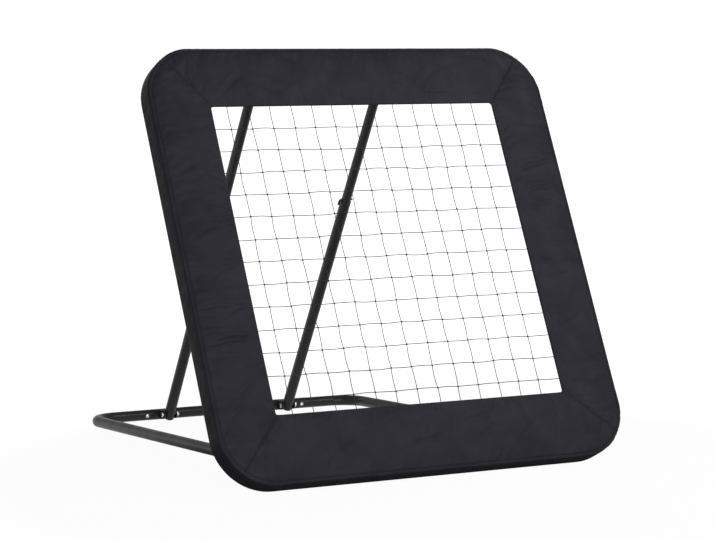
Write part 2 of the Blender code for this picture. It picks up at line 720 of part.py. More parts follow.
def add_band(bm, edges, count):
    """A bent strip from the outline of its section, repeated at both edges."""
    first, second = [[bm.verts.new(point) for point in edge] for edge in edges]
    total = len(first)
    for i in range(total):
        j = (i + 1) % total
        bm.faces.new((first[i], first[j], second[j], second[i]))
    for edge in (first, second):
        for i in range(count - 1):
            bm.faces.new((edge[i], edge[i + 1], edge[total - 2 - i], edge[total - 1 - i]))


def pad_outline(opening, opening_before, opening_after):
    """Stations from one mitre to the other, each an (inner, outer) pair of (along, outward) points."""
    inset = PAD_HALF_WIDTH - PAD_CORNER_RADIUS
    small = OPENING_CORNER_RADIUS
    stations = []
    steps = 4
    for k in range(steps + 1):
        angle = math.radians(135 - 45 * k / steps)
        turn = Vector((math.cos(angle), math.sin(angle)))
        inner = Vector((-opening_before + small, opening - small)) + small * turn
        outer = Vector((-inset, inset)) + PAD_CORNER_RADIUS * turn
        stations.append((inner, outer))
    for k in range(steps + 1):
        angle = math.radians(90 - 45 * k / steps)
        turn = Vector((math.cos(angle), math.sin(angle)))
        inner = Vector((opening_after - small, opening - small)) + small * turn
        outer = Vector((inset, inset)) + PAD_CORNER_RADIUS * turn
        stations.append((inner, outer))
    return stations


def clear_of_mitre(station, sign):
    """Draw the last station back from the mitre line by half the sewn joint's gap."""
    inner, outer = station
    along = (outer - inner).normalized()
    square = Vector((along.y, -along.x)) * sign * CLEARANCE / 2
    return inner + square, outer + square


def blend(first, second, share):
    return first[0].lerp(second[0], share), first[1].lerp(second[1], share)


def between(first, second, x):
    """The station on the straight part whose outer point lies at x."""
    return blend(first, second, (x - first[1].x) / (second[1].x - first[1].x))


def build_pad(side, opening, before, after, finish, frame):
    """One mitred section of the cover: a crowned front, a seam, and a skirt round the outside."""
    corners = pad_outline(opening, before, after)
    middle = len(corners) // 2
    first = clear_of_mitre(corners[0], 1)
    last = clear_of_mitre(corners[-1], -1)
    stations = [(first, SKIRT_DEPTH, MITRE_SINK), (blend(first, corners[1], MITRE_PINCH), SKIRT_DEPTH, 0.0)]
    stations += [(corner, SKIRT_DEPTH, 0.0) for corner in corners[1:middle]]
    if side == "top":
        for x in (-STRUT_HALF_SPACING, STRUT_HALF_SPACING):
            left = x - SKIRT_NOTCH_WIDTH / 2
            right = x + SKIRT_NOTCH_WIDTH / 2
            step = SKIRT_THICKNESS / 8
            for place, depth in ((left - step, SKIRT_DEPTH), (left, SKIRT_NOTCH_DEPTH),
                                 (right, SKIRT_NOTCH_DEPTH), (right + step, SKIRT_DEPTH)):
                stations.append((between(corners[middle - 1], corners[middle], place), depth, 0.0))
    stations += [(corner, SKIRT_DEPTH, 0.0) for corner in corners[middle:-1]]
    stations += [(blend(last, corners[-2], MITRE_PINCH), SKIRT_DEPTH, 0.0), (last, SKIRT_DEPTH, MITRE_SINK)]
    rings = []
    for (inner, outer), skirt_depth, sink in stations:
        width = outer - inner
        unit = width.normalized()
        ring = []
        for share, offset, height in cover_section(skirt_depth, sink):
            place = inner + width * share + unit * offset
            ring.append(frame_point(side, place.x, place.y, -height))
        rings.append(ring)
    bm = bmesh.new()
    loft(bm, rings)
    return add_object("pad_" + side, bm, finish, frame)


def build_lower_strut(label, tube_finish, plastic, pivot):
    up = Vector((0, 1, 0))
    foot = Vector((0, 0, -STRUT_FOOT_BEYOND_PIVOT))
    rim = Vector((0, 0, STRUT_LOWER_LENGTH))
    tube = hollow_tube(
        "strut_lower_" + label,
        [(foot, TUBE_RADIUS), (rim, TUBE_RADIUS)],
        [(foot, BORE_RADIUS), (rim, BORE_RADIUS)],
        tube_finish, pivot, up)
    across = Vector((TUBE_DIAMETER, 0, 0))
    cut(tube, cylinder_cutter("foot_hole_" + label, -across, across, BOLT_HOLE / 2, pivot))
    end_plug("strut_foot_plug_" + label, foot, Vector((0, 0, -1)), TUBE_RADIUS, BORE_RADIUS, plastic, pivot)


def build_upper_strut(label, tube_finish, plastic, slide):
    """The inner tube, in coordinates whose zero is the lock pin's axis."""
    up = Vector((0, 1, 0))
    bottom = Vector((0, 0, -STRUT_INSERT))
    head_pivot = Vector((0, 0, STRUT_SPAN - STRUT_LOWER_LENGTH - PIN_RADIUS - CLEARANCE))
    head = head_pivot + Vector((0, 0, STRUT_HEAD_BEYOND_PIVOT))
    tube = hollow_tube(
        "strut_upper_" + label,
        [(bottom, INNER_RADIUS), (head, INNER_RADIUS)],
        [(bottom, INNER_RADIUS - TUBE_WALL), (head, INNER_RADIUS - TUBE_WALL)],
        tube_finish, slide, up)
    across = Vector((INNER_TUBE_DIAMETER, 0, 0))
    for k in range(SETTINGS):
        centre = Vector((0, 0, -k * SETTING_PITCH))
        name = "setting_hole_%d_%s" % (k + 1, label)
        cut(tube, cylinder_cutter(name, centre - across, centre + across, PIN_HOLE / 2, slide, sides=8))
    loop_hole = cylinder_cutter(
        "head_hole_" + label, head_pivot - across, head_pivot + across, LOOP_PIVOT_HOLE / 2, slide)
    cut(tube, loop_hole)
    bore = INNER_RADIUS - TUBE_WALL
    end_plug("strut_head_plug_" + label, head, Vector((0, 0, 1)), INNER_RADIUS, bore, plastic, slide)


def build_lock_pin(label, inward, finish, slide):
    """A rod through the inner tube that rests on the outer tube's rim, its handle hooked down over the rim."""
    tip = INNER_RADIUS + PIN_DIAMETER
    hook = TUBE_RADIUS + PIN_RADIUS + PIN_HOOK_STANDOFF
    along = Vector((inward, 0, 0))
    down = Vector((0, 0, -1))
    bend_centre = along * (hook - PIN_BEND_RADIUS) + down * PIN_BEND_RADIUS
    points = [along * -tip]
    points += arc(bend_centre, PIN_BEND_RADIUS, math.pi / 2, 0, 5, along, -down)
    low = points[-1] + down * PIN_HOOK_DROP
    points.append(low)
    points.append(low + down * PIN_RADIUS + along * PIN_RADIUS * 0.8)
    bm = bmesh.new()
    loft(bm, path_rings([(point, PIN_RADIUS) for point in points], Vector((0, 1, 0)), 8))
    add_object("lock_pin_" + label, bm, finish, slide)


def build_struts(tube_finish, plastic, pin_finish, root):
    for side, label in ((-1, "left"), (1, "right")):
        foot = FOOT_PIVOT + Vector((side * STRUT_HALF_SPACING, 0, 0))
        pivot = empty("strut_pivot_" + label, foot, STRUT_TURN, root)
        build_lower_strut(label, tube_finish, plastic, pivot)
        pin_height = STRUT_LOWER_LENGTH + PIN_RADIUS + CLEARANCE
        slide = empty("strut_slide_" + label, Vector((0, 0, pin_height)), 0.0, pivot)
        build_upper_strut(label, tube_finish, plastic, slide)
        pin = empty("lock_pin_slide_" + label, Vector((0, 0, 0)), 0.0, slide)
        build_lock_pin(label, -side, pin_finish, pin)


def build():
    clear_scene()
    tube_finish = material("black_tube", (0.030, 0.030, 0.032), 0.35, 0.2)
    cover = material("pad_cover", (0.026, 0.025, 0.034), 0.55)
    twine = material("net_twine", (0.020, 0.020, 0.020), 0.8)
    rope = material("border_rope", (0.020, 0.020, 0.022), 0.8)
    elastic = material("elastic", (0.018, 0.018, 0.018), 0.7)
    webbing = material("webbing", (0.022, 0.022, 0.024), 0.8)
    zinc = material("zinc_steel", (0.62, 0.62, 0.60), 0.3, 1.0)
    pin_finish = material("pin_steel", (0.04, 0.04, 0.042), 0.4, 0.6)
    plastic = material("black_plastic", (0.020, 0.020, 0.020), 0.5)

    root = empty("floor_base", Vector((0, 0, 0)))
    build_base(tube_finish, zinc, plastic, root)

    hinge = empty("frame_hinge", HINGE, -FRAME_LEAN, root)
    to_net = Matrix.Rotation(FRAME_LEAN, 3, "X") @ (NET_CENTRE - HINGE)
    frame = empty("net_frame", to_net, 0.0, hinge)
    build_frame_tubes(tube_finish, frame)
    build_frame_brackets(tube_finish, zinc, frame)
    build_net(twine, frame)
    build_rope(rope, frame)
    build_lacing(elastic, frame)
    build_ties(webbing, frame)
    build_pad("top", OPENING_TOP, OPENING_SIDE, OPENING_SIDE, cover, frame)
    build_pad("right", OPENING_SIDE, OPENING_TOP, OPENING_BOTTOM, cover, frame)
    build_pad("bottom", OPENING_BOTTOM, OPENING_SIDE, OPENING_SIDE, cover, frame)
    build_pad("left", OPENING_SIDE, OPENING_BOTTOM, OPENING_TOP, cover, frame)

    build_struts(tube_finish, plastic, pin_finish, root)


build()
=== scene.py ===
import math
import random

import bmesh
import bpy
import numpy as np
from mathutils import Matrix, Vector, noise


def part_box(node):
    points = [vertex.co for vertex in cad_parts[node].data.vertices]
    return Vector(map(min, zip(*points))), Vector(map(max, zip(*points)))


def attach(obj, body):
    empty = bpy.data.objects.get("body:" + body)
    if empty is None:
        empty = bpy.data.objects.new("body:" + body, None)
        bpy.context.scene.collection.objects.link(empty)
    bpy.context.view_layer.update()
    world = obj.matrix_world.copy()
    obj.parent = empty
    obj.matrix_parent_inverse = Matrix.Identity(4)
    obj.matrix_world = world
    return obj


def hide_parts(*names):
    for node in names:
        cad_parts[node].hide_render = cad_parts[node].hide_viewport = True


# Soccer rebound net: a padded square net frame that leans back on a floor base and two telescoping struts.
# Metres. In frame coordinates X runs across the net, Y behind its plane and Z up the frame.
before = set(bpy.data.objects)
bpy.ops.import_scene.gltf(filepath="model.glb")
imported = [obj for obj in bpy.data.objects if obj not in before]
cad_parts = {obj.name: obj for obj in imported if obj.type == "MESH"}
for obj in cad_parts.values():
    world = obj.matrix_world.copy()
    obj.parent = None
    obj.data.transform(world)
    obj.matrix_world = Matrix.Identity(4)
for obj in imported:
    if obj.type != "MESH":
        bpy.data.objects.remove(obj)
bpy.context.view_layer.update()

# Camera, fitted to the photograph
CAMERA_LENS = 125.6
CAMERA_PLACE = (-2.5917, -4.9036, 0.9049)
CAMERA_ELEVATION = 5.29
CAMERA_TURN = -28.70

# Lamps: name, place, target, size, power, and whether reflections show them
LAMPS = (
    ("key", (-1.3, -4.9, 1.0), (0, -0.2, 0.45), (2.4, 1.2), 176, True),
    ("side", (1.0, -1.5, 1.7), (0.1, -0.1, 0.65), (1.0, 0.8), 23, True),
    ("back_left", (-1.3, 4.6, 0.9), (0, 0, 0.45), (2.0, 1.2), 45, False),
    ("back_right", (2.6, 3.8, 0.9), (0, 0, 0.45), (2.0, 1.2), 80, False),
)

# World: its fill from the front and from behind, the share that is left overhead, and where they change
FRONT_FILL = 0.14
BACK_FILL = 0.8
FILL_EDGES = (-0.1, 0.5)
OVERHEAD_SHARE = 0.3
OVERHEAD_EDGES = (0.05, 0.5)

# Floor: its shade and glow, the share of the shadow that shows, and the share of reflections near the cover
FLOOR_PLACE = (0, -0.45, -0.0004)
FLOOR_REACH = 30.0
FLOOR_SHADE = 0.15
FLOOR_GLOW = 1.2
SHADOW_SHARE = 0.2
SHADOW_EDGES = (0.9, 2.2)
MIRROR_SHARE = 0.1
MIRROR_EDGES = (0.5, 1.0)

# Net: pitch, twine, knots, how slack the strands are, and the border rope
FRAME_LEAN = math.radians(25.9)
MESH_PITCH = 0.050
NET_LINES = 13
TWINE_RADIUS = 0.00085
KNOT_RADIUS = 0.0021
KNOT_LOOP = (0.75, 0.62)
KNOT_SHIFT = 0.0010
STRAND_STEPS = 5
STRAND_BOW = 0.0016
STRAND_LIFT = 0.0006
ROPE_OFFSET = 0.362
ROPE_CORNER_RADIUS = 0.014
ROPE_RADIUS = 0.003
ROPE_LAY = 0.021
ROPE_STEP = 0.003
ROPE_LOBES = 0.14

# Cover
PAD_HALF_WIDTH = 0.481
PAD_CORNER_RADIUS = 0.115
OPENINGS = {"top": 0.3455, "right": 0.3445, "bottom": 0.335, "left": 0.3445}
OPENING_CORNER_RADIUS = 0.006
PAD_UNDERSIDE = 0.0087
PAD_EDGE_THICKNESS = 0.009
PAD_CREST = 0.0225
PAD_CREST_PLACE = 0.55
PAD_SHOULDER_RADIUS = 0.005
PAD_SEAM_HEIGHT = 0.0168
PAD_SEAM_DEPTH = 0.0026
PAD_SEAM_HALF_WIDTH = 0.0026
PAD_INNER_FILLET = 0.004
PAD_ROLL_POWER = 3.6
SKIRT_GROOVE = 0.35
SKIRT_THICKNESS = 0.012
SKIRT_DEPTH = 0.035
SKIRT_NOTCH_DEPTH = 0.002
SKIRT_NOTCH_WIDTH = 0.046
SKIRT_NOTCH_FADE = 0.004
SKIRT_NOTCH_REST = 0.04

# Sewn mitres: degrees from the horizontal at each corner, and how far the seam draws the cover in
MITRE_ANGLES = {"upper_left": 53, "upper_right": 53, "lower_right": 37, "lower_left": 48}
CORNERS = {
    "top": ("upper_left", "upper_right"),
    "right": ("upper_right", "lower_right"),
    "bottom": ("lower_right", "lower_left"),
    "left": ("lower_left", "upper_left"),
}
MITRE_GAP = 0.0003
MITRE_SINK = 0.0025
MITRE_REACH = 0.012
MITRE_HELD = 0.004
MITRE_GROOVE = 0.0015
MITRE_GROOVE_WIDTH = 0.0017
MITRE_RIDGE = 0.0004
MITRE_RIDGE_PLACE = 0.0058
MITRE_RIDGE_WIDTH = 0.0028
PUCKER_PITCH = 0.0032
PUCKER_REACH = 0.010

# Cloth of the cover, its grid before it is refined, and how far it may travel
FRONT_STEPS = 26
CORNER_STEPS = 18
STRAIGHT_STEPS = 116
FRONT_TRAVEL = 0.0035
SIDE_TRAVEL = 0.0005
SWELL_ROOM = 0.0015
CLOTH_FRAMES = 20
CLOTH = {
    "quality": 5, "mass": 0.15, "tension_stiffness": 15, "compression_stiffness": 15, "shear_stiffness": 5,
    "bending_stiffness": 0.5, "use_pressure": True, "uniform_pressure_force": 4, "shrink_min": -0.014,
}

# Soft dents of the cover, as height, scale and shift of their noise, and how loose each section is
DENTS = ((0.0009, 11.0, (0, 3.1, 0)), (0.0008, 27.0, (7.0, 1.7, 0)), (0.0003, 66.0, (0, 9.2, 4.0)))
PAD_LOOSENESS = {"top": 1.6, "right": 1.1, "bottom": 2.4, "left": 1.0}
DENT_FADE = 0.012
OPENING_FADE = 8
SEAM_FADE = 14

# Single creases on the front of the cover, each with a low fold beside it
CREASE_STRENGTH = 2.5
CREASE_BOW = 0.12
CREASE_WAVE = 0.0012
CREASE_WAVE_RATE = 110
CREASE_REACH = 0.56
FOLD_SHARE = 0.55
FOLD_PLACE = 1.9

# In millimetres of the frame: two ends, depth and half width
CREASES = (
    (-452, -178, -372, -171, 1.9, 5.0),
    (-468, -100, -368, -101, 1.4, 4.5),
    (-412, -121, -368, -100, 1.2, 4.5),
    (-469, -135, -428, -143, 1.2, 4.5),
    (-452, -204, -398, -209, 1.1, 5.0),
    (-445, -330, -416, -315, 1.2, 6.0),
    (-410, -280, -384, -260, 0.9, 6.0),
    (-420, -30, -372, -12, 1.0, 6.0),
    (-448, 52, -396, 74, 1.0, 5.0),
    (-412, 118, -372, 128, 0.9, 7.0),
    (-452, 196, -408, 214, 1.0, 6.0),
    (-440, 282, -400, 262, 0.7, 7.0),
    (372, 180, 454, 200, 1.7, 4.8),
    (388, 132, 432, 137, 1.5, 5.0),
    (378, 90, 438, 106, 1.1, 5.0),
    (395, 3, 446, -1, 1.0, 5.0),
    (362, 268, 446, 264, 0.7, 7.0),
    (366, -30, 402, -52, 1.2, 5.0),
    (372, -78, 424, -70, 1.1, 5.0),
    (376, -196, 436, -166, 0.8, 6.0),
    (400, -330, 446, -318, 0.9, 6.0),
    (-120, -392, -62, -362, 0.9, 6.5),
    (-236, -440, -150, -394, 0.8, 8.0),
    (-40, -424, 16, -414, 1.0, 6.0),
    (86, -388, 150, -372, 0.9, 7.0),
    (112, -424, 152, -398, 0.9, 6.5),
    (206, -436, 262, -392, 0.8, 7.0),
    (-316, 372, -266, 414, 1.0, 6.0),
    (-238, 398, -182, 376, 0.8, 7.0),
    (108, 402, 150, 378, 1.0, 7.0),
    (158, 372, 212, 424, 0.9, 7.0),
    (240, 376, 262, 416, 0.8, 6.5),
    (130, 361, 322, 362, 0.7, 4.0),
)

# Stitches in the cover's outer seam
STITCH_PITCH = 0.0058
STITCH_LENGTH = 0.0042
THREAD_RADIUS = 0.00042

# Tubes
TUBE_RADIUS = 0.0125
INNER_TUBE_RADIUS = 0.011
TUBE_WALL = 0.0012
CLEARANCE = 0.0003
RAIL_OFFSET = 0.450
RAIL_SETBACK = 0.015
RAIL_HALF_LENGTH = 0.325
RAIL_BEND_RADIUS = PAD_CORNER_RADIUS - (PAD_HALF_WIDTH - RAIL_OFFSET)
BASE_SLOPE = math.radians(2.25)
BASE_HALF_WIDTH = 0.3505
BASE_BEND_RADIUS = 0.065
BASE_REACH = 0.9495
CROSSBAR_HALF_LENGTH = 0.190
TUBE_END_BEYOND_PIVOT = 0.012
RIM_CHAMFER = 0.0003
TUBE_SIDES = 40
HIDDEN_TUBE_SIDES = 32
BEND_STEPS = 18
HOLE_CUTTER_REACH = 0.02

# Struts
STRUT_HALF_SPACING = 0.1575
STRUT_LOWER_LENGTH = 0.598
STRUT_INSERT = 0.300
STRUT_HEAD_BEYOND_PIVOT = 0.012
STRUT_FOOT_BEYOND_PIVOT = 0.0075
SETTINGS = 5
SETTING_PITCH = 0.046
LOOP_PIVOT_HOLE = 0.0096

# Fasteners, pins, lacing, ties and plugs
BOLT_RADIUS = 0.003
HEAD_FLATS = 0.010
HEAD_CORNER = HEAD_FLATS / 2 / math.cos(math.pi / 6)
HEAD_HEIGHT = 0.004
NUT_HEIGHT = 0.005
THREAD_PITCH = 0.001
THREAD_DEPTH = 0.00035
EAR_THICKNESS = 0.003
EAR_SIDE_PLAY = 0.001
SCREW_EDGE_DISTANCE = 0.0165
SCREW_HEAD_RADIUS = 0.0045
SCREW_HEAD_HEIGHT = 0.0025
PIN_RADIUS = 0.0025
PIN_HOLE = 0.0056
PIN_BEND_RADIUS = 0.0045
PIN_HOOK_STANDOFF = 0.0018
PIN_HOOK_DROP = 0.007
ELASTIC_RADIUS = 0.002
LACING_TURNS = 12
LACING_ADVANCE = 0.010
LACING_ROOM = 0.009
LACING_STEP = 0.012
TIE_WIDTH = 0.025
TIE_THICKNESS = 0.0015
PLUG_FLANGE = 0.0018
PLUG_DOME = 0.0012

SIDES = ("top", "right", "bottom", "left")
SIDES_TURN = {"top": 0, "left": 1, "bottom": 2, "right": 3}
PAIR = ((-1, "left"), (1, "right"))
ACROSS = Vector((1, 0, 0))
BACK = Vector((0, 1, 0))
UP = Vector((0, 0, 1))


def middle(node):
    low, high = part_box(node)
    return (low + high) / 2


def configured(thing, **settings):
    for key, value in settings.items():
        setattr(thing, key, value)
    return thing


NET_CENTRE = middle("net")
TO_WORLD = Matrix.Translation(NET_CENTRE) @ Matrix.Rotation(-FRAME_LEAN, 4, "X")
CROSSBAR = middle("base_crossbar")
FOOT_PIVOT = middle("foot_pivot_nut_right")
HEAD_PIVOT = middle("strut_pivot_nut_right")
HINGE = middle("hinge_nut_right")
STRUT = Vector((0, HEAD_PIVOT.y - FOOT_PIVOT.y, HEAD_PIVOT.z - FOOT_PIVOT.z))
STRUT_UP = STRUT.normalized()
STRUT_SPAN = STRUT.length


def turned(side):
    return Matrix.Rotation(-SIDES_TURN[side] * math.pi / 2, 4, "Y")


def frame_point(side, along, outward, depth):
    return TO_WORLD @ (turned(side) @ Vector((along, depth, outward)))


def frame_direction(vector, side="top"):
    return TO_WORLD.to_3x3() @ (turned(side) @ vector)


FRAME_BACK = frame_direction(BACK)


# Materials
class Graph:
    """A node tree with short calls for the nodes that are used here."""

    def __init__(self, tree):
        self.nodes = tree.nodes
        self.links = tree.links

    def feed(self, node, inputs):
        """Set inputs, each by another node's output or by a plain value."""
        for key, value in inputs.items():
            if isinstance(value, bpy.types.NodeSocket):
                self.links.new(value, node.inputs[key])
            else:
                node.inputs[key].default_value = value

    def add(self, kind, inputs=None, **settings):
        node = configured(self.nodes.new("ShaderNode" + kind), **settings)
        self.feed(node, inputs or {})
        return node

    def math(self, operation, *values):
        return self.add("Math", dict(enumerate(values)), operation=operation).outputs[0]

    def remap(self, value, low, high, to_low=0.0, to_high=1.0):
        inputs = {"Value": value, "From Min": low, "From Max": high, "To Min": to_low, "To Max": to_high}
        return self.add("MapRange", inputs).outputs["Result"]

    def seen(self, mirrored):
        """One where a ray comes from the camera or through glass; reflections count by the share given."""
        path = self.add("LightPath").outputs
        direct = self.math("MAXIMUM", path["Is Camera Ray"], path["Is Transmission Ray"])
        return self.math("MAXIMUM", direct, self.math("MULTIPLY", path["Is Glossy Ray"], mirrored))


class Shader(Graph):
    """A Principled material."""

    def __init__(self, name, roughness, metallic=0.0, specular=0.5):
        self.material = bpy.data.materials.new(name)
        self.material.use_nodes = True
        super().__init__(self.material.node_tree)
        self.principled = self.nodes["Principled BSDF"]
        self.surface({"Roughness": roughness, "Metallic": metallic, "Specular IOR Level": specular})
        self.place = self.add("TexCoord").outputs

    def surface(self, inputs):
        self.feed(self.principled, inputs)

    def noise(self, scale, detail=3.0, distortion=0.0):
        inputs = {"Vector": self.place["Object"], "Scale": scale, "Detail": detail, "Distortion": distortion}
        return self.add("TexNoise", inputs).outputs["Fac"]

    def cells(self, scale):
        return self.add("TexVoronoi", {"Vector": self.place["Object"], "Scale": scale}).outputs["Distance"]

    def wave(self, around, length):
        """Waves on a swept piece: this many round its section, and one for each length along it."""
        uv = self.add("SeparateXYZ", {"Vector": self.place["UV"]}).outputs
        turn = self.math("MULTIPLY", uv["X"], around * 2 * math.pi)
        run = self.math("MULTIPLY", uv["Y"], 2 * math.pi / length)
        return self.math("SINE", self.math("ADD", turn, run))

    def colour(self, value, dark, light):
        inputs = {"A": (*dark, 1.0), "B": (*light, 1.0), "Factor": value}
        self.surface({"Base Color": self.add("Mix", inputs, data_type="RGBA").outputs["Result"]})

    def uneven(self, scale, detail, low, high):
        """Roughness that changes with noise."""
        self.surface({"Roughness": self.remap(self.noise(scale, detail), 0.3, 0.7, low, high)})

    def bump(self, height, distance, strength, under=None):
        inputs = {"Height": height, "Distance": distance, "Strength": strength}
        if under is not None:
            inputs["Normal"] = under
        normal = self.add("Bump", inputs).outputs["Normal"]
        self.surface({"Normal": normal})
        return normal


def leatherette():
    shader = Shader("leatherette", 0.6, specular=0.025)
    broad = shader.math("MULTIPLY", shader.noise(16.0, 4.0, 0.6), 0.75)
    mottle = shader.math("ADD", broad, shader.math("MULTIPLY", shader.noise(420.0, 2.0), 0.25))
    shader.colour(shader.remap(mottle, 0.32, 0.68), (0.0185, 0.0177, 0.0236), (0.0268, 0.0257, 0.0332))
    shader.uneven(38.0, 3.0, 0.42, 0.58)
    soft = shader.bump(shader.noise(46.0, 4.0, 0.6), 0.0011, 0.55)
    grain = shader.bump(shader.cells(880.0), 0.00022, 0.5, soft)
    shader.bump(shader.noise(2600.0, 2.0), 0.00006, 0.5, grain)
    return shader.material


def coating(name, roughness, tint, dark, light, bumps, wear=None, uneven=None, **base):
    """A material whose tint, roughness and bumps follow noise; its tint turns light within the wear band."""
    shader = Shader(name, roughness, **base)
    value = shader.noise(*tint)
    shader.colour(shader.remap(value, *wear) if wear else value, dark, light)
    if uneven:
        shader.uneven(*uneven)
    under = None
    for pattern, distance, strength in bumps:
        under = shader.bump(shader.noise(*pattern), distance, strength, under)
    return shader.material


def twisted(name, roughness, around, length, dark, light, distance, strength):
    """Yarns that wind round a rope one way."""
    shader = Shader(name, roughness, specular=0.25)
    yarns = shader.wave(around, length)
    shader.colour(shader.remap(yarns, -1.0, 1.0), dark, light)
    shader.bump(shader.math("ADD", yarns, shader.noise(1500.0, 3.0)), distance, strength)
    return shader.material


def woven(name, roughness, around, length, crossing, low, dark, light, distance, strength):
    """Two crossing sets of waves, put together by a math operation."""
    shader = Shader(name, roughness, specular=0.3)
    weave = shader.math(crossing, shader.wave(around, length), shader.wave(around, -length))
    shader.colour(shader.remap(weave, low, 1.0), dark, light)
    shader.bump(weave, distance, strength)
    return shader.material


COVER = leatherette()
COAT = coating("black_powder_coat", 0.36, (95.0, 6.0, 1.5),
               (0.0230, 0.0230, 0.0234), (0.0360, 0.0360, 0.0368),
               [((420.0, 2.0), 0.00010, 0.5), ((1900.0, 2.0), 0.00004, 0.5)],
               (0.66, 0.74), (30.0, 4.0, 0.29, 0.43), specular=0.24)
TWINE = coating("net_twine", 0.75, (700.0, 3.0), (0.010, 0.010, 0.011), (0.034, 0.034, 0.036),
                [((1800.0, 3.0, 2.0), 0.0003, 0.7)], specular=0.25)
ROPE = twisted("border_rope", 0.8, 9, 0.012, (0.010, 0.010, 0.011), (0.028, 0.028, 0.030), 0.00018, 0.6)
ELASTIC = woven("elastic_braid", 0.65, 4, 0.0048, "MAXIMUM", -0.4,
                (0.006, 0.006, 0.006), (0.026, 0.026, 0.027), 0.00022, 0.7)
WEBBING = woven("tie_webbing", 0.7, 14, 0.0024, "MULTIPLY", -1.0,
                (0.008, 0.008, 0.009), (0.030, 0.030, 0.032), 0.0003, 0.6)
THREAD = coating("seam_thread", 0.7, (2200.0, 2.0), (0.007, 0.007, 0.009), (0.018, 0.0175, 0.021),
                 [((3600.0, 2.0), 0.0001, 0.6)], specular=0.1)
ZINC = coating("zinc_plate", 0.3, (260.0, 4.0), (0.56, 0.56, 0.54), (0.74, 0.74, 0.72),
               [((2200.0, 3.0), 0.00003, 0.5)], uneven=(420.0, 4.0, 0.22, 0.40), metallic=1.0)
PIN_STEEL = coating("coated_pin", 0.38, (300.0, 5.0, 1.0), (0.020, 0.020, 0.021), (0.070, 0.070, 0.068),
                    [((1500.0, 2.0), 0.00004, 0.5)], (0.58, 0.70), (150.0, 3.0, 0.30, 0.46), metallic=0.35)
PLASTIC = coating("moulded_plastic", 0.55, (80.0, 3.0), (0.013, 0.013, 0.013), (0.022, 0.022, 0.022),
                  [((2400.0, 2.0), 0.00005, 0.6)], uneven=(500.0, 3.0, 0.48, 0.62), specular=0.4)


# Mesh tools
def new_mesh(name, points, faces):
    mesh = bpy.data.meshes.new(name)
    mesh.from_pydata([tuple(point) for point in points], [], faces)
    return mesh


def new_object(name, data, place=(0, 0, 0), turn=(0, 0, 0)):
    made = configured(bpy.data.objects.new(name, data), location=place, rotation_euler=turn)
    bpy.context.scene.collection.objects.link(made)
    return made


def piece(name, points, faces, material, body, replaced=(), angle=40.0, uvs=None):
    """A finished piece: mesh, material, slot, body and the CAD nodes that it stands for."""
    mesh = new_mesh(name, points, faces)
    if uvs is not None:
        layer = mesh.uv_layers.new(name="UVMap")
        layer.data.foreach_set("uv", [number for face_uvs in uvs for uv in face_uvs for number in uv])
    mesh.materials.append(material)
    shell = bmesh.new()
    shell.from_mesh(mesh)
    bmesh.ops.recalc_face_normals(shell, faces=shell.faces)
    shell.to_mesh(mesh)
    shell.free()
    mesh.shade_smooth()
    mesh.set_sharp_from_angle(angle=math.radians(angle))
    made = new_object(name, mesh)
    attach(made, body)
    if replaced:
        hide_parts(*replaced)
    return made


def carried_frames(points, up, closed=False):
    """(point, heading, side, rise) along a path, carried without twist."""
    frames = []
    side = None
    last = len(points) - 1
    for k, point in enumerate(points):
        before = points[k - 1] if closed or k > 0 else point
        after = points[(k + 1) % len(points)] if closed or k < last else point
        heading = (after - before).normalized()
        if side is None:
            side = heading.cross(up).normalized()
        side = (side - heading * side.dot(heading)).normalized()
        frames.append((point, heading, side, side.cross(heading).normalized()))
    return frames


def arc(centre, radius, start, end, steps, across, along):
    """Points along an arc; the radius is a number or depends on the angle."""
    points = []
    for k in range(steps + 1):
        angle = start + (end - start) * k / steps
        reach = radius(angle) if callable(radius) else radius
        points.append(centre + reach * (math.cos(angle) * across + math.sin(angle) * along))
    return points


def ring(place, side, rise, radius, sides):
    return arc(place, radius, 0, 2 * math.pi, sides, side, rise)[:-1]


def even_steps(route, step, closed=False):
    """Points along a route with about this step between them."""
    points = []
    for near, far in zip(route, route[1:] + route[:1] if closed else route[1:]):
        count = max(1, round((far - near).length / step))
        points += [near.lerp(far, i / count) for i in range(count)]
    return points if closed else points + route[-1:]


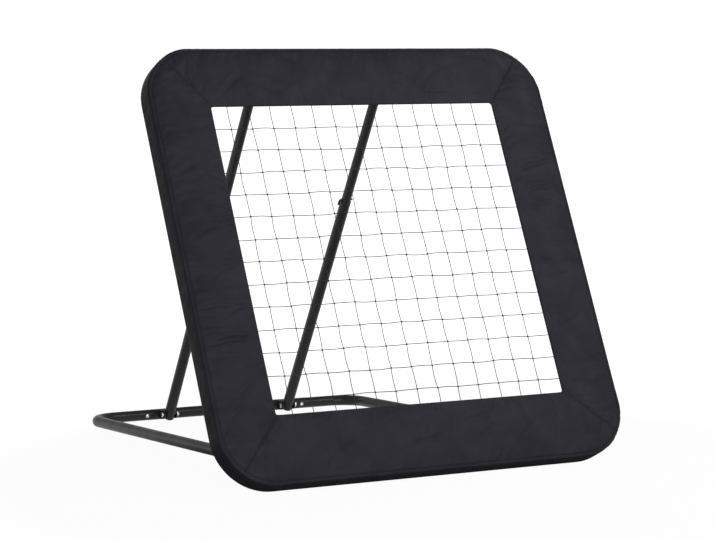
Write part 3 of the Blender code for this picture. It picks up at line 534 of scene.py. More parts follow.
class Skin:
    """Points, faces and UVs gathered from lofted rings."""

    def __init__(self):
        self.points = []
        self.faces = []
        self.uvs = []

    def loft(self, rings, closed=False, lengths=None):
        first = len(self.points)
        sides = len(rings[0])
        for one in rings:
            self.points.extend(one)
        if lengths is None:
            lengths = [0.0]
            for near, far in zip(rings, rings[1:]):
                lengths.append(lengths[-1] + (far[0] - near[0]).length)
        for k in range(len(rings) if closed else len(rings) - 1):
            near = first + k * sides
            far = first + ((k + 1) % len(rings)) * sides
            run = lengths[k]
            next_run = lengths[k + 1] if k + 1 < len(lengths) else run
            for i in range(sides):
                j = (i + 1) % sides
                self.faces.append((near + i, near + j, far + j, far + i))
                self.uvs.append(((i / sides, run), ((i + 1) / sides, run),
                                 ((i + 1) / sides, next_run), (i / sides, next_run)))
        if not closed:
            last = first + (len(rings) - 1) * sides
            self.faces += [tuple(range(first + sides - 1, first - 1, -1)), tuple(range(last, last + sides))]
            self.uvs += [((0.0, 0.0),) * sides, ((0.0, lengths[-1]),) * sides]
        return self

    def sweep(self, points, radius, sides, up, closed=False, twist=0.0):
        """A round or lobed cord along a path; twist is in radians for each metre."""
        rings = []
        lengths = []
        run = 0.0
        for k, (point, _, side, rise) in enumerate(carried_frames(points, up, closed)):
            if k:
                run += (point - points[k - 1]).length
            lengths.append(run)
            lobes = (lambda angle, shift=twist * run: radius(angle - shift)) if callable(radius) else radius
            rings.append(ring(point, side, rise, lobes, sides))
        return self.loft(rings, closed, lengths)

    def pipe(self, points, outer, inner, sides, up):
        """A tube with both skins and chamfered rims."""
        frames = carried_frames(points, up)
        stations = [(frames[0], 0, outer - RIM_CHAMFER), (frames[0], RIM_CHAMFER, outer)]
        stations += [(one, 0, outer) for one in frames[1:-1]]
        stations += [(frames[-1], -RIM_CHAMFER, outer), (frames[-1], 0, outer - RIM_CHAMFER)]
        stations += [(one, 0, inner) for one in reversed(frames)]
        return self.loft([ring(place + heading * run, side, rise, radius, sides)
                          for (place, heading, side, rise), run, radius in stations], True)

    def piece(self, name, material, body, replaced=(), angle=40.0):
        return piece(name, self.points, self.faces, material, body, replaced, angle, self.uvs)


def lathe(place, outward, stations, sides, side=ACROSS, rise=None, closed=False):
    """A skin turned round an axis, from distances along it and the reach at each."""
    if rise is None:
        rise = side.cross(outward).normalized()
    rings = [ring(place + outward * run, side, rise, reach, sides) for run, reach in stations]
    return Skin().loft(rings, closed)


def add_tube(name, node, body, points, up, wall=TUBE_WALL, sides=TUBE_SIDES, radius=TUBE_RADIUS):
    return Skin().pipe(points, radius, radius - wall, sides, up).piece(name, COAT, body, [node])


def cut_holes(target, holes):
    """Cut round holes across a tube, each (centre, radius), and keep the result as the piece's own mesh."""
    cutters = []
    reach = HOLE_CUTTER_REACH * ACROSS
    for centre, radius in holes:
        skin = Skin().sweep([centre - reach, centre + reach], radius, 24, UP)
        cutters.append(new_object("cutter", new_mesh("cutter", skin.points, skin.faces)))
        configured(target.modifiers.new("hole", "BOOLEAN"), operation="DIFFERENCE", solver="EXACT",
                   object=cutters[-1])
    bpy.context.view_layer.update()
    graph = bpy.context.evaluated_depsgraph_get()
    cut_mesh = bpy.data.meshes.new_from_object(target.evaluated_get(graph))
    target.modifiers.clear()
    target.data = cut_mesh
    cut_mesh.set_sharp_from_angle(angle=math.radians(40))
    for cutter in cutters:
        bpy.data.objects.remove(cutter, do_unlink=True)


# Camera, light and floor
def make_camera():
    data = configured(bpy.data.cameras.new("camera"), lens=CAMERA_LENS, clip_end=100)
    turn = (math.radians(90 - CAMERA_ELEVATION), 0, math.radians(CAMERA_TURN))
    bpy.context.scene.camera = new_object("camera", data, CAMERA_PLACE, turn)


def make_lamp(name, place, target, size, power, mirrored):
    width, height = size
    data = bpy.data.lights.new(name, "AREA")
    configured(data, shape="RECTANGLE", size=width, size_y=height, energy=power)
    aim = (Vector(target) - Vector(place)).to_track_quat("-Z", "Y").to_euler()
    configured(new_object(name, data, place, aim), visible_camera=False, visible_glossy=mirrored)


def make_world():
    """White where it is seen or reflected, dimmer overhead, with a low fill for the object's own light."""
    world = bpy.data.worlds.new("studio")
    bpy.context.scene.world = world
    world.use_nodes = True
    graph = Graph(world.node_tree)
    way = graph.add("SeparateXYZ", {"Vector": graph.add("TexCoord").outputs["Generated"]}).outputs
    overhead = graph.remap(way["Z"], *OVERHEAD_EDGES, 1.0, OVERHEAD_SHARE)
    fill = graph.math("MULTIPLY", graph.remap(way["Y"], *FILL_EDGES, FRONT_FILL, BACK_FILL), overhead)
    strength = graph.math("MAXIMUM", graph.seen(overhead), fill)
    graph.feed(graph.nodes["Background"], {"Color": (1, 1, 1, 1), "Strength": strength})


def make_floor():
    """A pale floor that is seen as white, apart from a share of the object's shadow near the object."""
    material = bpy.data.materials.new("pale_floor")
    material.use_nodes = True
    graph = Graph(material.node_tree)
    shader = graph.nodes["Principled BSDF"]
    graph.feed(shader, {"Base Color": (FLOOR_SHADE, FLOOR_SHADE, FLOOR_SHADE, 1), "Roughness": 0.9,
                        "Specular IOR Level": 0.1})
    place = graph.add("TexCoord").outputs["Object"]
    distance = graph.add("VectorMath", {0: place}, operation="LENGTH").outputs["Value"]
    plain = graph.remap(distance, *SHADOW_EDGES, 1 - SHADOW_SHARE, 1.0)
    mirrored = graph.remap(distance, *MIRROR_EDGES, MIRROR_SHARE, 1.0)
    weight = graph.math("MULTIPLY", graph.seen(mirrored), plain)
    glow = graph.add("Emission", {"Strength": FLOOR_GLOW})
    mix = graph.add("MixShader", {0: weight, 1: shader.outputs[0], 2: glow.outputs[0]})
    graph.feed(graph.nodes["Material Output"], {"Surface": mix.outputs[0]})
    corners = [(x * FLOOR_REACH, y * FLOOR_REACH, 0) for x, y in ((-1, -1), (1, -1), (1, 1), (-1, 1))]
    floor = new_object("floor", new_mesh("floor", corners, [(0, 1, 2, 3)]), FLOOR_PLACE)
    floor.data.materials.append(material)


def make_studio():
    make_camera()
    make_world()
    make_floor()
    for lamp in LAMPS:
        make_lamp(*lamp)
    bpy.context.scene.view_settings.view_transform = "Standard"


# Plugs and fasteners
def add_plug(name, node, body, end, outward, radius=TUBE_RADIUS):
    """An end plug: neck in the bore, domed flange on the tube's end."""
    neck = radius - TUBE_WALL - CLEARANCE
    flange = CLEARANCE + PLUG_FLANGE
    stations = [(-0.0035, neck), (CLEARANCE * 0.8, neck), (CLEARANCE * 0.8, radius - 0.0002),
                (CLEARANCE * 1.6, radius)]
    for k in range(7):
        angle = math.pi / 2 * k / 6
        dome = radius - PLUG_DOME + PLUG_DOME * math.cos(angle)
        stations.append((CLEARANCE * 2 + (flange - CLEARANCE * 2) * math.sin(angle) * 0.9, dome))
    stations += [(flange * 0.97, radius * 0.6), (flange, radius * 0.25)]
    lathe(end, outward, stations, 32).piece(name, PLASTIC, body, [node])


def dome_screw(surface, outward):
    """A dome head with a cross recess."""
    def cross(share):
        return lambda angle: SCREW_HEAD_RADIUS * (0.13 + 0.36 * abs(math.cos(2 * angle)) ** 6) * share

    stations = [(-0.0012, 0.002), (CLEARANCE, 0.002), (CLEARANCE, SCREW_HEAD_RADIUS * 0.97)]
    for k in range(1, 9):
        angle = math.pi / 2 * k / 9
        stations.append((CLEARANCE + SCREW_HEAD_HEIGHT * math.sin(angle),
                         SCREW_HEAD_RADIUS * math.cos(angle) ** 0.8))
    top = CLEARANCE + SCREW_HEAD_HEIGHT
    stations += [(top - 0.0001, cross(1)), (top - 0.0014, cross(0.72))]
    return lathe(surface, outward, stations, 48)


def hexagon(share):
    """The reach of a hexagon with its corners turned down to a share of their own."""
    def reach(angle):
        within = (angle % (math.pi / 3)) - math.pi / 6
        return min(HEAD_FLATS / 2 / math.cos(within), HEAD_CORNER * share)
    return reach


def threaded(place):
    """The reach of the bolt's thread at a place along it."""
    def reach(angle):
        phase = (place / THREAD_PITCH + angle / (2 * math.pi)) % 1.0
        return BOLT_RADIUS - THREAD_DEPTH * abs(2 * phase - 1)
    return reach


def add_bolt_pair(name, label, pivot, x, half_tube, body):
    """Bolt and nut on a pivot along X, with the thread showing past the nut."""
    half_grip = half_tube + EAR_SIDE_PLAY + EAR_THICKNESS
    head = x - half_grip - CLEARANCE
    top = head - HEAD_HEIGHT
    start = x + half_grip + CLEARANCE
    end = start + NUT_HEIGHT
    tip = x + half_grip + CLEARANCE * 2 + NUT_HEIGHT + BOLT_RADIUS * 0.8
    bolt = [(top, HEAD_FLATS * 0.40), (top, HEAD_FLATS * 0.47), (top + 0.00035, hexagon(0.945)),
            (top + 0.0008, hexagon(1)), (head - 0.0004, hexagon(1)), (head - 0.0003, HEAD_FLATS * 0.475),
            (head, HEAD_FLATS * 0.47), (head, BOLT_RADIUS)]
    run = end - 0.001
    while run < tip - 0.0006:
        bolt.append((run, threaded(run)))
        run += THREAD_PITCH / 8
    bolt += [(tip - 0.0005, BOLT_RADIUS - 0.0004), (tip, BOLT_RADIUS - 0.0008)]
    bore = BOLT_RADIUS + CLEARANCE * 0.3
    nut = [(start, HEAD_FLATS * 0.46), (start + 0.0003, hexagon(0.95)), (start + 0.0008, hexagon(1)),
           (end - 0.0008, hexagon(1)), (end - 0.0003, hexagon(0.95)), (end, HEAD_FLATS * 0.46),
           (end, bore + 0.0004), (end - 0.0004, bore), (start + 0.0004, bore), (start, bore + 0.0004)]
    axis = Vector((0, pivot.y, pivot.z))
    for kind, stations in (("bolt", bolt), ("nut", nut)):
        skin = lathe(axis, ACROSS, stations, 48, BACK, UP, kind == "nut")
        skin.piece("%s_hex_%s_%s" % (name, kind, label), ZINC, body, ["%s_%s_%s" % (name, kind, label)], 30)


def finish_bracket(node):
    """The CAD bracket keeps its shape, with rounded edges and a powder coat."""
    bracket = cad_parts[node]
    bracket.data.materials.clear()
    bracket.data.materials.append(COAT)
    configured(bracket.modifiers.new("weld", "WELD"), merge_threshold=0.00001)
    configured(bracket.modifiers.new("rounded", "BEVEL"), width=0.0005, segments=2, limit_method="ANGLE",
               angle_limit=math.radians(35), harden_normals=True)


# Floor base, net frame and struts
def make_base():
    forward = Vector((0, -math.cos(BASE_SLOPE), math.sin(BASE_SLOPE)))
    half = CROSSBAR_HALF_LENGTH
    ends = [CROSSBAR - half * ACROSS, CROSSBAR + half * ACROSS]
    add_tube("rear_crossbar", "base_crossbar", "floor_base", ends, UP, 2 * TUBE_WALL)
    for side, label in PAIR:
        outward = Vector((side, 0, 0))
        centre = CROSSBAR + outward * (BASE_HALF_WIDTH - BASE_BEND_RADIUS) + forward * BASE_BEND_RADIUS
        path = [CROSSBAR + outward * (half + CLEARANCE)]
        path += arc(centre, BASE_BEND_RADIUS, -math.pi / 2, 0, BEND_STEPS, outward, forward)
        path.append(CROSSBAR + outward * BASE_HALF_WIDTH + forward * (BASE_REACH + TUBE_END_BEYOND_PIVOT))
        made = add_tube("side_tube_" + label, "base_side_" + label, "floor_base", path, UP)
        hole = Vector((side * BASE_HALF_WIDTH, HINGE.y, HINGE.z))
        cut_holes(made, [(hole, BOLT_RADIUS + CLEARANCE)])
        add_plug("side_tube_plug_" + label, "base_end_plug_" + label, "floor_base", path[-1], forward)
        screw = dome_screw(CROSSBAR + Vector((side * (half + SCREW_EDGE_DISTANCE), -TUBE_RADIUS, 0)), -BACK)
        screw.piece("crossbar_screw_" + label, ZINC, "floor_base", ["base_joint_screw_" + label], 30)
        add_bolt_pair("foot_pivot", label, FOOT_PIVOT, side * STRUT_HALF_SPACING, TUBE_RADIUS, "floor_base")


def make_frame_tubes():
    half = RAIL_HALF_LENGTH
    corner = RAIL_OFFSET - RAIL_BEND_RADIUS
    for side in SIDES:
        ends = [frame_point(side, along, RAIL_OFFSET, RAIL_SETBACK) for along in (-half, half)]
        add_tube("rail_" + side, "frame_rail_" + side, "net_frame", ends, FRAME_BACK, sides=HIDDEN_TUBE_SIDES)
    for side in SIDES:
        label = CORNERS[side][1]
        path = [frame_point(side, half + CLEARANCE, RAIL_OFFSET, RAIL_SETBACK)]
        centre = frame_point(side, corner, corner, RAIL_SETBACK)
        path += arc(centre, RAIL_BEND_RADIUS, math.pi / 2, 0, BEND_STEPS,
                    frame_direction(ACROSS, side), frame_direction(UP, side))
        path.append(frame_point(side, RAIL_OFFSET, half + CLEARANCE, RAIL_SETBACK))
        add_tube("corner_" + label, "frame_corner_" + label, "net_frame", path, FRAME_BACK, 2 * TUBE_WALL,
                 HIDDEN_TUBE_SIDES)


def make_frame_pivots():
    for side, label in PAIR:
        for name, pivot, x, half_tube in (("strut_pivot", HEAD_PIVOT, STRUT_HALF_SPACING, INNER_TUBE_RADIUS),
                                          ("hinge", HINGE, BASE_HALF_WIDTH, TUBE_RADIUS)):
            add_bolt_pair(name, label, pivot, side * x, half_tube, "net_frame")
        for node in ("foot_bracket_", "strut_bracket_", "hinge_bracket_"):
            finish_bracket(node + label)


def make_struts():
    for side, label in PAIR:
        body = "lower_strut_" + label
        foot = Vector((side * STRUT_HALF_SPACING, FOOT_PIVOT.y, FOOT_PIVOT.z))
        bottom = foot - STRUT_UP * STRUT_FOOT_BEYOND_PIVOT
        rim = foot + STRUT_UP * STRUT_LOWER_LENGTH
        made = add_tube("outer_tube_" + label, "strut_lower_" + label, body, [bottom, rim], ACROSS)
        cut_holes(made, [(foot, BOLT_RADIUS + CLEARANCE)])
        add_plug("foot_plug_" + label, "strut_foot_plug_" + label, body, bottom, -STRUT_UP)

        body = "upper_strut_" + label
        pin = rim + STRUT_UP * (PIN_RADIUS + CLEARANCE)
        head = foot + STRUT_UP * (STRUT_SPAN + STRUT_HEAD_BEYOND_PIVOT)
        ends = [pin - STRUT_UP * STRUT_INSERT, head]
        made = add_tube("inner_tube_" + label, "strut_upper_" + label, body, ends, ACROSS,
                        radius=INNER_TUBE_RADIUS)
        holes = [(pin - STRUT_UP * (k * SETTING_PITCH), PIN_HOLE / 2) for k in range(SETTINGS)]
        cut_holes(made, holes + [(foot + STRUT_UP * STRUT_SPAN, LOOP_PIVOT_HOLE / 2)])
        add_plug("head_plug_" + label, "strut_head_plug_" + label, body, head, STRUT_UP, INNER_TUBE_RADIUS)
        add_lock_pin(label, Vector((-side, 0, 0)), pin)


def add_lock_pin(label, along, pin):
    """A rod through the inner tube whose handle hooks down over the outer tube's rim."""
    hook = TUBE_RADIUS + PIN_RADIUS + PIN_HOOK_STANDOFF
    bend_centre = pin + along * (hook - PIN_BEND_RADIUS) - STRUT_UP * PIN_BEND_RADIUS
    tip = pin - along * (INNER_TUBE_RADIUS + 2 * PIN_RADIUS)
    path = [tip, tip + along * 0.0008, pin]
    path += arc(bend_centre, PIN_BEND_RADIUS, math.pi / 2, 0, 10, along, STRUT_UP)
    low = path[-1] - STRUT_UP * PIN_HOOK_DROP
    path += [low] + [low + (along * 0.8 - STRUT_UP) * PIN_RADIUS * share for share in (0.5, 0.85, 1.0)]
    frames = carried_frames(path, UP.cross(along))
    radii = [PIN_RADIUS * 0.7] + [PIN_RADIUS] * (len(path) - 3) + [PIN_RADIUS * 0.92, PIN_RADIUS * 0.6]
    rings = [ring(place, side, rise, radius, 20) for (place, _, side, rise), radius in zip(frames, radii)]
    Skin().loft(rings).piece("hooked_pin_" + label, PIN_STEEL, "pin_" + label, ["lock_pin_" + label])


# Net, rope, lacing and ties
def make_net():
    """Two sets of slightly slack strands that meet in knots, each end tied round the border rope."""
    jitter = random.Random(11)
    places = [(k - (NET_LINES - 1) / 2) * MESH_PITCH for k in range(NET_LINES)]
    knots = {}
    for i, x in enumerate(places):
        for k, z in enumerate(places):
            shift = [jitter.uniform(-KNOT_SHIFT, KNOT_SHIFT) for _ in range(2)]
            knots[i, k] = Vector((x + shift[0], 0, z + shift[1]))
    net = Skin()
    for line in range(NET_LINES):
        for along, aside, lift in ((UP, ACROSS, STRAND_LIFT), (ACROSS, UP, -STRAND_LIFT)):
            row = [knots[line, k] if along is UP else knots[k, line] for k in range(NET_LINES)]
            first, last = (along * end + aside * places[line] for end in (-ROPE_OFFSET, ROPE_OFFSET))
            route = [first, *row, last]
            points = []
            for near, far in zip(route, route[1:]):
                bow = jitter.uniform(-STRAND_BOW, STRAND_BOW)
                for step in range(STRAND_STEPS):
                    share = step / STRAND_STEPS
                    hump = 4 * share * (1 - share)
                    point = near.lerp(far, share) + aside * bow * hump
                    point.y += lift * hump * jitter.uniform(0.6, 1.4)
                    points.append(TO_WORLD @ point)
            points.append(TO_WORLD @ last)
            net.sweep(points, TWINE_RADIUS, 6, FRAME_BACK)
            for tip in (first, last):
                add_tie_knot(net, tip, along, aside)
    for place in knots.values():
        add_knot(net, place, jitter)
    net.piece("knotted_net", TWINE, "net_frame", ["net"], 60)


def add_knot(net, place, jitter):
    """A sheet-bend knot as two small loops crossing on the strands' meeting point."""
    tilt = jitter.uniform(0.5, 1.0)
    for turn in (tilt, tilt + math.pi / 2):
        along = Vector((math.cos(turn), 0, math.sin(turn))) * KNOT_RADIUS * KNOT_LOOP[0]
        across = Vector((-math.sin(turn), 0, math.cos(turn)))
        depth = BACK * KNOT_RADIUS * KNOT_LOOP[1]
        points = [TO_WORLD @ point for point in ring(place, along, depth, 1, 8)]
        net.sweep(points, TWINE_RADIUS * 0.95, 5, frame_direction(across), closed=True)


def add_tie_knot(net, tip, along, aside):
    """A strand's end wound twice round the border rope."""
    reach = ROPE_RADIUS + TWINE_RADIUS
    steps = 20
    points = []
    for k in range(steps + 1):
        angle = 4 * math.pi * k / steps
        shift = aside * (k / steps - 0.5) * TWINE_RADIUS * 4.4
        depth = Vector((0, reach * math.sin(angle), 0))
        points.append(TO_WORLD @ (tip + shift + along * reach * math.cos(angle) + depth))
    net.sweep(points, TWINE_RADIUS, 5, frame_direction(aside))


def make_rope():
    """A three-strand twisted rope round the net's edge."""
    inset = ROPE_OFFSET - ROPE_CORNER_RADIUS
    corners = []
    for quarter, (x, z) in enumerate(((inset, inset), (-inset, inset), (-inset, -inset), (inset, -inset))):
        start = quarter * math.pi / 2
        corners += arc(Vector((x, 0, z)), ROPE_CORNER_RADIUS, start, start + math.pi / 2, 8, ACROSS, UP)
    points = [TO_WORLD @ point for point in even_steps(corners, ROPE_STEP, closed=True)]
    length = sum((points[(k + 1) % len(points)] - points[k]).length for k in range(len(points)))
    turns = round(length / ROPE_LAY / 3) * 3

    def lobed(angle):
        return ROPE_RADIUS * (1 - ROPE_LOBES + ROPE_LOBES * abs(math.cos(1.5 * angle)) ** 0.7)

    rope = Skin().sweep(points, lobed, 18, FRAME_BACK, closed=True, twist=2 * math.pi * turns / length)
    rope.piece("twisted_border_rope", ROPE, "net_frame", ["net_border_rope"], 60)


def belt(first, first_radius, second, second_radius, first_steps, second_steps):
    """A belt round two circles, in two parts, given as (outward, depth)."""
    span = second - first
    heading = math.atan2(span.y, span.x)
    lean = math.asin((second_radius - first_radius) / span.length)
    parts = []
    for circle, radius, start, turn, steps in (
            (first, first_radius, heading + math.pi / 2 + lean, math.pi - 2 * lean, first_steps),
            (second, second_radius, heading - math.pi / 2 - lean, math.pi + 2 * lean, second_steps)):
        angles = [start + turn * k / steps for k in range(steps + 1)]
        parts.append([circle + radius * Vector((math.cos(angle), math.sin(angle))) for angle in angles])
    return parts


def rail_is_free(side, along):
    taken = [(0.0, TIE_WIDTH / 2)]
    if side == "top":
        half_width = INNER_TUBE_RADIUS + EAR_SIDE_PLAY + EAR_THICKNESS
        taken += [(-STRUT_HALF_SPACING, half_width), (STRUT_HALF_SPACING, half_width)]
    return all(abs(along - centre) > half_width + LACING_ROOM for centre, half_width in taken)


def make_lacing():
    """Elastic cord that spirals round the border rope and the rails."""
    rope_steps = 6
    rail_steps = 8
    rope_part, rail_part = belt(
        Vector((ROPE_OFFSET, 0)), ROPE_RADIUS + ELASTIC_RADIUS + CLEARANCE * 3,
        Vector((RAIL_OFFSET, RAIL_SETBACK)), TUBE_RADIUS + ELASTIC_RADIUS + CLEARANCE * 2,
        rope_steps, rail_steps)
    for side in SIDES:
        route = []
        for k in range(LACING_TURNS):
            rope_place = (k - (LACING_TURNS - 1) / 2) * MESH_PITCH
            rail_place = rope_place + MESH_PITCH / 2
            if rail_is_free(side, rope_place - MESH_PITCH / 2):
                for i, point in enumerate(rope_part):
                    along = rope_place + LACING_ADVANCE * (i / rope_steps - 0.5) / 2
                    route.append(frame_point(side, along, point.x, point.y))
            if k < LACING_TURNS - 1 and rail_is_free(side, rail_place):
                for i, point in enumerate(rail_part):
                    along = rail_place + LACING_ADVANCE * (i / rail_steps - 0.5)
                    route.append(frame_point(side, along, point.x, point.y))
        cord = Skin().sweep(even_steps(route, LACING_STEP), ELASTIC_RADIUS, 10, frame_direction(ACROSS, side))
        cord.piece("elastic_cord_" + side, ELASTIC, "net_frame", ["elastic_lacing_" + side], 60)


def make_ties():
    rail = Vector((0, RAIL_SETBACK, RAIL_OFFSET))
    seat = CLEARANCE - PAD_UNDERSIDE
    lines = []
    for radius in (TUBE_RADIUS + CLEARANCE, TUBE_RADIUS + CLEARANCE + TIE_THICKNESS):
        line = [Vector((0, seat, RAIL_OFFSET - radius))]
        line += arc(rail, radius, -math.pi, 0, 20, UP, -BACK)
        line.append(Vector((0, seat, RAIL_OFFSET + radius)))
        lines.append(line)
    half = ACROSS * (TIE_WIDTH / 2)
    for side in SIDES:
        rings = []
        for low, high in zip(*lines):
            corners = (low - half, low + half, high + half, high - half)
            rings.append([TO_WORLD @ (turned(side) @ corner) for corner in corners])
        Skin().loft(rings).piece("webbing_tie_" + side, WEBBING, "net_frame", ["pad_tie_" + side], 50)


# Padded cover
def section_arc(share, offset, height, radius, start, end, steps):
    """An arc of the cover's section, in degrees, as (share of the width, offset, height)."""
    points = []
    for k in range(steps + 1):
        angle = math.radians(start + (end - start) * k / steps)
        points.append((share, offset + radius * math.cos(angle), height + radius * math.sin(angle)))
    return points


def front_height(share):
    """The crown of the front, from the opening's edge over the crest to the outer seam."""
    if share < PAD_CREST_PLACE:
        low = PAD_UNDERSIDE + PAD_EDGE_THICKNESS
        return PAD_CREST - (PAD_CREST - low) * ((PAD_CREST_PLACE - share) / PAD_CREST_PLACE) ** 2
    run = (share - PAD_CREST_PLACE) / (1 - PAD_CREST_PLACE)
    return PAD_CREST - (PAD_CREST - PAD_SEAM_HEIGHT) * run ** PAD_ROLL_POWER


def cover_section():
    """Points round the section, and the number of the one in the outer seam.

    Each has its share of the width, offset, height, travel as cloth, share of the dents and of the mitre.
    """
    rim = PAD_EDGE_THICKNESS / 2
    hem = SKIRT_THICKNESS / 2
    shoulder = PAD_SHOULDER_RADIUS
    seam = shoulder + 2 * PAD_SEAM_HALF_WIDTH
    low = PAD_SEAM_HEIGHT - shoulder
    turn_height = hem - SKIRT_DEPTH
    front = []
    for k in range(1, FRONT_STEPS):
        share = k / FRONT_STEPS
        front.append((share, rim * (1 - share) - seam * share, front_height(share)))
    groove = [(1, -seam, PAD_SEAM_HEIGHT),
              (1, -shoulder - PAD_SEAM_HALF_WIDTH, PAD_SEAM_HEIGHT - PAD_SEAM_DEPTH)]
    bend = section_arc(1, -shoulder, low, shoulder, 90, 0, 7)
    skirt = [(1, 0, low + (hem - SKIRT_DEPTH - low) * k / 7) for k in range(1, 7)]
    turn = section_arc(1, -hem, turn_height, hem, 0, -180, 6)
    rise = PAD_UNDERSIDE - PAD_INNER_FILLET - hem + SKIRT_DEPTH
    back = [(1, -SKIRT_THICKNESS, turn_height + rise * k / 5) for k in range(1, 6)]
    inner = SKIRT_THICKNESS + PAD_INNER_FILLET
    under = [(1 - k / 8, rim * k / 8 - inner * (1 - k / 8), PAD_UNDERSIDE) for k in range(8)]
    zones = [
        (section_arc(0, rim, PAD_UNDERSIDE + rim, rim, 270, 180, 2), 0, 0, 0),
        (section_arc(0, rim, PAD_UNDERSIDE + rim, rim, 135, 90, 1), 0, 0, 1),
        (front, FRONT_TRAVEL, 1, 1),
        (groove, 0, 0, 1),
        (bend[:2], 0, 0, SKIRT_GROOVE),
        (bend[2:] + skirt, SIDE_TRAVEL, 0, SKIRT_GROOVE),
        (turn + back + under, 0, 0, 0),
    ]
    section = []
    for points, travel, dents, outside in zones:
        for share, offset, height in points:
            fade = min(1.0, OPENING_FADE * share, SEAM_FADE * (1 - share))
            section.append((share, offset, height, travel, dents * fade, float(outside)))
    return section, sum(len(zone[0]) for zone in zones[:3]) + 1


SECTION, SEAM_POINT = cover_section()


def seam_angle(side, end):
    """The mitre's angle in a side's plan, from the axis along it."""
    angle = math.radians(MITRE_ANGLES[CORNERS[side][end]])
    if side in ("left", "right"):
        angle = math.pi / 2 - angle
    return math.pi - angle if end == 0 else angle


def cover_stations(side):
    """Pairs of inner and outer points in plan, (along, outward), from one mitre to the other."""
    inset = PAD_HALF_WIDTH - PAD_CORNER_RADIUS
    small = OPENING_CORNER_RADIUS
    shares = [(k / CORNER_STEPS) ** 1.6 for k in range(CORNER_STEPS + 1)]
    stations = []
    for end, sign in enumerate((-1, 1)):
        reach = OPENINGS[SIDES[(SIDES.index(side) + sign) % 4]]
        start = seam_angle(side, end)
        corner = []
        for share in shares:
            angle = start + (math.pi / 2 - start) * share
            turn = Vector((math.cos(angle), math.sin(angle)))
            corner.append((Vector((sign * (reach - small), OPENINGS[side] - small)) + small * turn,
                           Vector((sign * inset, inset)) + PAD_CORNER_RADIUS * turn))
        stations.append(corner)
    first, last = stations
    straight = []
    for k in range(1, STRAIGHT_STEPS):
        share = k / STRAIGHT_STEPS
        straight.append((first[-1][0].lerp(last[-1][0], share), first[-1][1].lerp(last[-1][1], share)))
    return first + straight + last[::-1]


def mitre_distance(x, z, stations):
    """Distance in plan from points to the nearer mitre line."""
    nearest = np.full(np.shape(x), 1.0)
    for inner, outer in (stations[0], stations[-1]):
        run = (outer - inner).normalized()
        nearest = np.minimum(nearest, np.abs(run.x * (z - inner.y) - run.y * (x - inner.x)))
    return nearest


def cover_grid(stations, lowered):
    """The cover's skin on one side, (along, depth, outward), and how far each point may travel as cloth."""
    waist = PAD_UNDERSIDE + PAD_EDGE_THICKNESS / 2
    grid = np.empty((len(stations), len(SECTION), 3))
    travels = np.empty(grid.shape[:2])
    for k, (inner, outer) in enumerate(stations):
        unit = (outer - inner).normalized()
        for j, (share, offset, height, travel, *_) in enumerate(SECTION):
            place = inner.lerp(outer, share) + unit * offset
            grid[k, j] = place.x, height, place.y
            travels[k, j] = travel
    gap = mitre_distance(grid[:, :, 0], grid[:, :, 2], stations)
    pull = np.maximum(0.0, (grid[:, :, 1] - waist) / (PAD_CREST - waist))
    sink = np.maximum(lowered, MITRE_SINK * np.exp(-(gap / MITRE_REACH) ** 2))
    grid[:, :, 1] = -(grid[:, :, 1] - sink * pull)
    travels[gap < MITRE_HELD] = 0.0
    return grid, travels


def quads(rows, around, first=0):
    faces = []
    for k in range(rows - 1):
        near = first + k * around
        far = near + around
        for i in range(around):
            j = (i + 1) % around
            faces.append((near + i, far + i, far + j, near + j))
    last = first + (rows - 1) * around
    return faces + [tuple(range(first, first + around)), tuple(range(last + around - 1, last - 1, -1))]


def swell(grids, travels):
    """Let the cover's sections swell and wrinkle as cloth over their foam, each point within its travel."""
    start = np.concatenate([grid.reshape(-1, 3) for grid in grids])
    travel = np.concatenate([one.reshape(-1) for one in travels])
    ends = np.cumsum([grid.shape[0] * grid.shape[1] for grid in grids])
    faces = []
    for grid, end in zip(grids, ends.tolist()):
        rows, around = grid.shape[:2]
        faces += quads(rows, around, end - rows * around)
    made = new_object("cloth", new_mesh("cloth", start.tolist(), faces))
    held = made.vertex_groups.new(name="held")
    held.add(np.flatnonzero(travel == 0).tolist(), 1.0, "REPLACE")
    cloth = made.modifiers.new("cloth", "CLOTH")
    configured(cloth.point_cache, frame_start=1, frame_end=CLOTH_FRAMES)
    cloth.collision_settings.use_collision = False
    cloth.settings.effector_weights.gravity = 0
    configured(cloth.settings, vertex_group_mass=held.name, **CLOTH)
    for step in range(1, CLOTH_FRAMES + 1):
        bpy.context.scene.frame_set(step)
    graph = bpy.context.evaluated_depsgraph_get()
    moved = np.empty(start.size)
    made.evaluated_get(graph).data.vertices.foreach_get("co", moved)
    bpy.data.objects.remove(made, do_unlink=True)
    bpy.context.scene.frame_set(1)
    shift = moved.reshape(-1, 3) - start
    length = np.maximum(np.linalg.norm(shift, axis=1), 1e-9)
    limit = np.maximum(travel, 1e-9)
    kept = np.where(travel > 0, limit * np.tanh(length / limit) / length, 0.0)
    soft = start + shift * kept[:, None]
    return [part.reshape(grid.shape) for part, grid in zip(np.split(soft, ends[:-1]), grids)]


def refined(values, closed):
    """Twice the points along the first axis, on smooth curves through them."""
    if closed:
        before, after, beyond = (np.roll(values, shift, axis=0) for shift in (1, -1, -2))
        between = (9 * (values + after) - before - beyond) / 16
        return np.stack([values, between], axis=1).reshape(-1, *values.shape[1:])
    padded = np.concatenate([2 * values[:1] - values[1:2], values, 2 * values[-1:] - values[-2:-1]])
    between = (9 * (padded[1:-2] + padded[2:-1]) - padded[:-3] - padded[3:]) / 16
    found = np.empty((2 * len(values) - 1, *values.shape[1:]))
    found[::2] = values
    found[1::2] = between
    return found


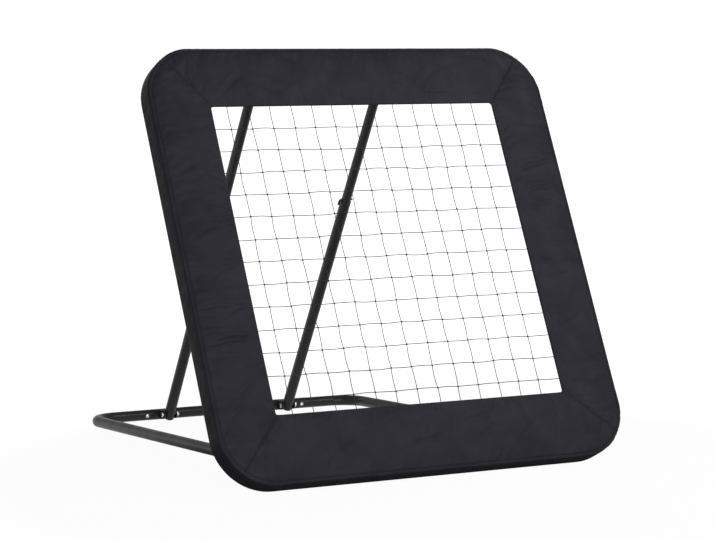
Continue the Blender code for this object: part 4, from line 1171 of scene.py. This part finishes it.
def crease_depth(x, z):
    """How far the creases sink the surface at points, with a low fold beside each."""
    total = np.zeros(np.shape(x))
    for crease in CREASES:
        x0, z0, x1, z1, depth, half_width = (number / 1000 for number in crease)
        run_x, run_z = x1 - x0, z1 - z0
        length = math.hypot(run_x, run_z)
        along = ((x - x0) * run_x + (z - z0) * run_z) / length
        across = ((z - z0) * run_x - (x - x0) * run_z) / length
        wave = CREASE_WAVE * np.sin(CREASE_WAVE_RATE * along + 40 * x0)
        bow = across - CREASE_BOW * along * (length - along) / length + wave
        fade = np.exp(-((along - length / 2) / (length * CREASE_REACH)) ** 4)
        fold = FOLD_SHARE * np.exp(-((bow - FOLD_PLACE * half_width) / half_width) ** 2)
        total += CREASE_STRENGTH * depth * fade * (np.exp(-(bow / half_width) ** 2) - fold)
    return total


def soft_dents(x, z):
    """Broad dents and soft ripples of a cover that is drawn over thin foam."""
    total = np.empty(np.shape(x))
    for place in np.ndindex(total.shape):
        here = Vector((x[place], 0.0, z[place]))
        dents = [height * noise.noise(here * scale + Vector(shift)) for height, scale, shift in DENTS]
        total[place] = sum(dents)
    return total


def notched(x, depth):
    """The skirt's depth, cut away where the top brackets pass it."""
    nearest = np.abs(np.abs(x) - STRUT_HALF_SPACING)
    share = np.clip((nearest - SKIRT_NOTCH_WIDTH / 2) / SKIRT_NOTCH_FADE, 0.0, 1.0)
    floor = SKIRT_NOTCH_DEPTH + (depth - SKIRT_NOTCH_DEPTH) * SKIRT_NOTCH_REST
    return np.where(depth > SKIRT_NOTCH_DEPTH, floor + (depth - floor) * share, depth)


def dress(side, grid, stations):
    """The swollen section, refined, with its creases, mitre seams and notches, as world points."""
    dents, outside = (np.clip(refined(np.array(SECTION)[:, column], True), 0, 1) for column in (4, 5))
    fine = np.swapaxes(refined(np.swapaxes(refined(grid, False), 0, 1), True), 0, 1)
    slope_round = np.roll(fine, -1, axis=1) - np.roll(fine, 1, axis=1)
    normals = np.cross(np.gradient(fine, axis=0), slope_round)
    normals /= np.maximum(np.linalg.norm(normals, axis=2), 1e-12)[..., None]
    turn = np.array(turned(side).to_3x3())
    flat = fine @ turn.T
    gap = mitre_distance(fine[..., 0], fine[..., 2], stations)
    sunk = np.zeros(gap.shape)
    seen = np.flatnonzero(dents > 0)
    x, z = flat[:, seen, 0], flat[:, seen, 2]
    dented = crease_depth(x, z) - PAD_LOOSENESS[side] * soft_dents(x, z)
    sunk[:, seen] = dented * dents[seen] * np.clip(gap[:, seen] / DENT_FADE, 0, 1)
    groove = MITRE_GROOVE * np.exp(-(gap / MITRE_GROOVE_WIDTH) ** 2)
    ridge = MITRE_RIDGE * np.exp(-((gap - MITRE_RIDGE_PLACE) / MITRE_RIDGE_WIDTH) ** 2)
    waves = np.sin(np.hypot(fine[..., 0], fine[..., 2]) / PUCKER_PITCH)
    pucker = MITRE_RIDGE * waves * np.exp(-(gap / PUCKER_REACH) ** 2)
    fine = fine - normals * (sunk + (groove - ridge + pucker) * outside)[..., None]
    if side == "top":
        fine[..., 1] = np.where(dents == 0, notched(fine[..., 0], fine[..., 1]), fine[..., 1])
    for row, neighbour in ((0, 1), (-1, -2)):
        away = fine[neighbour] - fine[row]
        away /= np.maximum(np.linalg.norm(away, axis=1), 1e-9)[:, None]
        fine[row] += away * MITRE_GAP / 2
    world = np.array(TO_WORLD)
    return (fine @ turn.T) @ world[:3, :3].T + world[:3, 3]


def add_stitches(skin, line, outward):
    """Stitches along a line of surface points, each a small thread bump."""
    run = 0.0
    due = STITCH_PITCH / 2
    for near, far in zip(line, line[1:]):
        span = (far - near).length
        while span > 0 and due < run + span:
            centre = near.lerp(far, (due - run) / span)
            heading = (far - near) / span
            start = centre - heading * STITCH_LENGTH / 2
            points = [start + heading * STITCH_LENGTH * share + outward * THREAD_RADIUS * lift
                      for share, lift in ((0.0, -0.5), (0.15, 0.45), (0.5, 0.8), (0.85, 0.45), (1.0, -0.5))]
            skin.sweep(points, THREAD_RADIUS, 5, outward)
            due += STITCH_PITCH
        run += span


def make_cover():
    """Four mitred sections, sewn together, with thread in the seam along the front's outer edge."""
    stations = {side: cover_stations(side) for side in SIDES}
    room = SWELL_ROOM
    grids, travels = zip(*(cover_grid(stations[side], room) for side in SIDES))
    grids = swell(grids, travels)
    threads = Skin()
    for side, grid in zip(SIDES, grids):
        fine = dress(side, grid, stations[side])
        points = fine.reshape(-1, 3).tolist()
        made = piece("cover_" + side, points, quads(*fine.shape[:2]), COVER, "net_frame", ["pad_" + side], 70)
        add_stitches(threads, [Vector(point) for point in fine[2:-2, 2 * SEAM_POINT]], -FRAME_BACK)
    threads.piece("cover_stitching", THREAD, "net_frame", [], 60)


make_studio()
make_base()
make_frame_tubes()
make_frame_pivots()
make_struts()
make_net()
make_rope()
make_lacing()
make_ties()
make_cover()
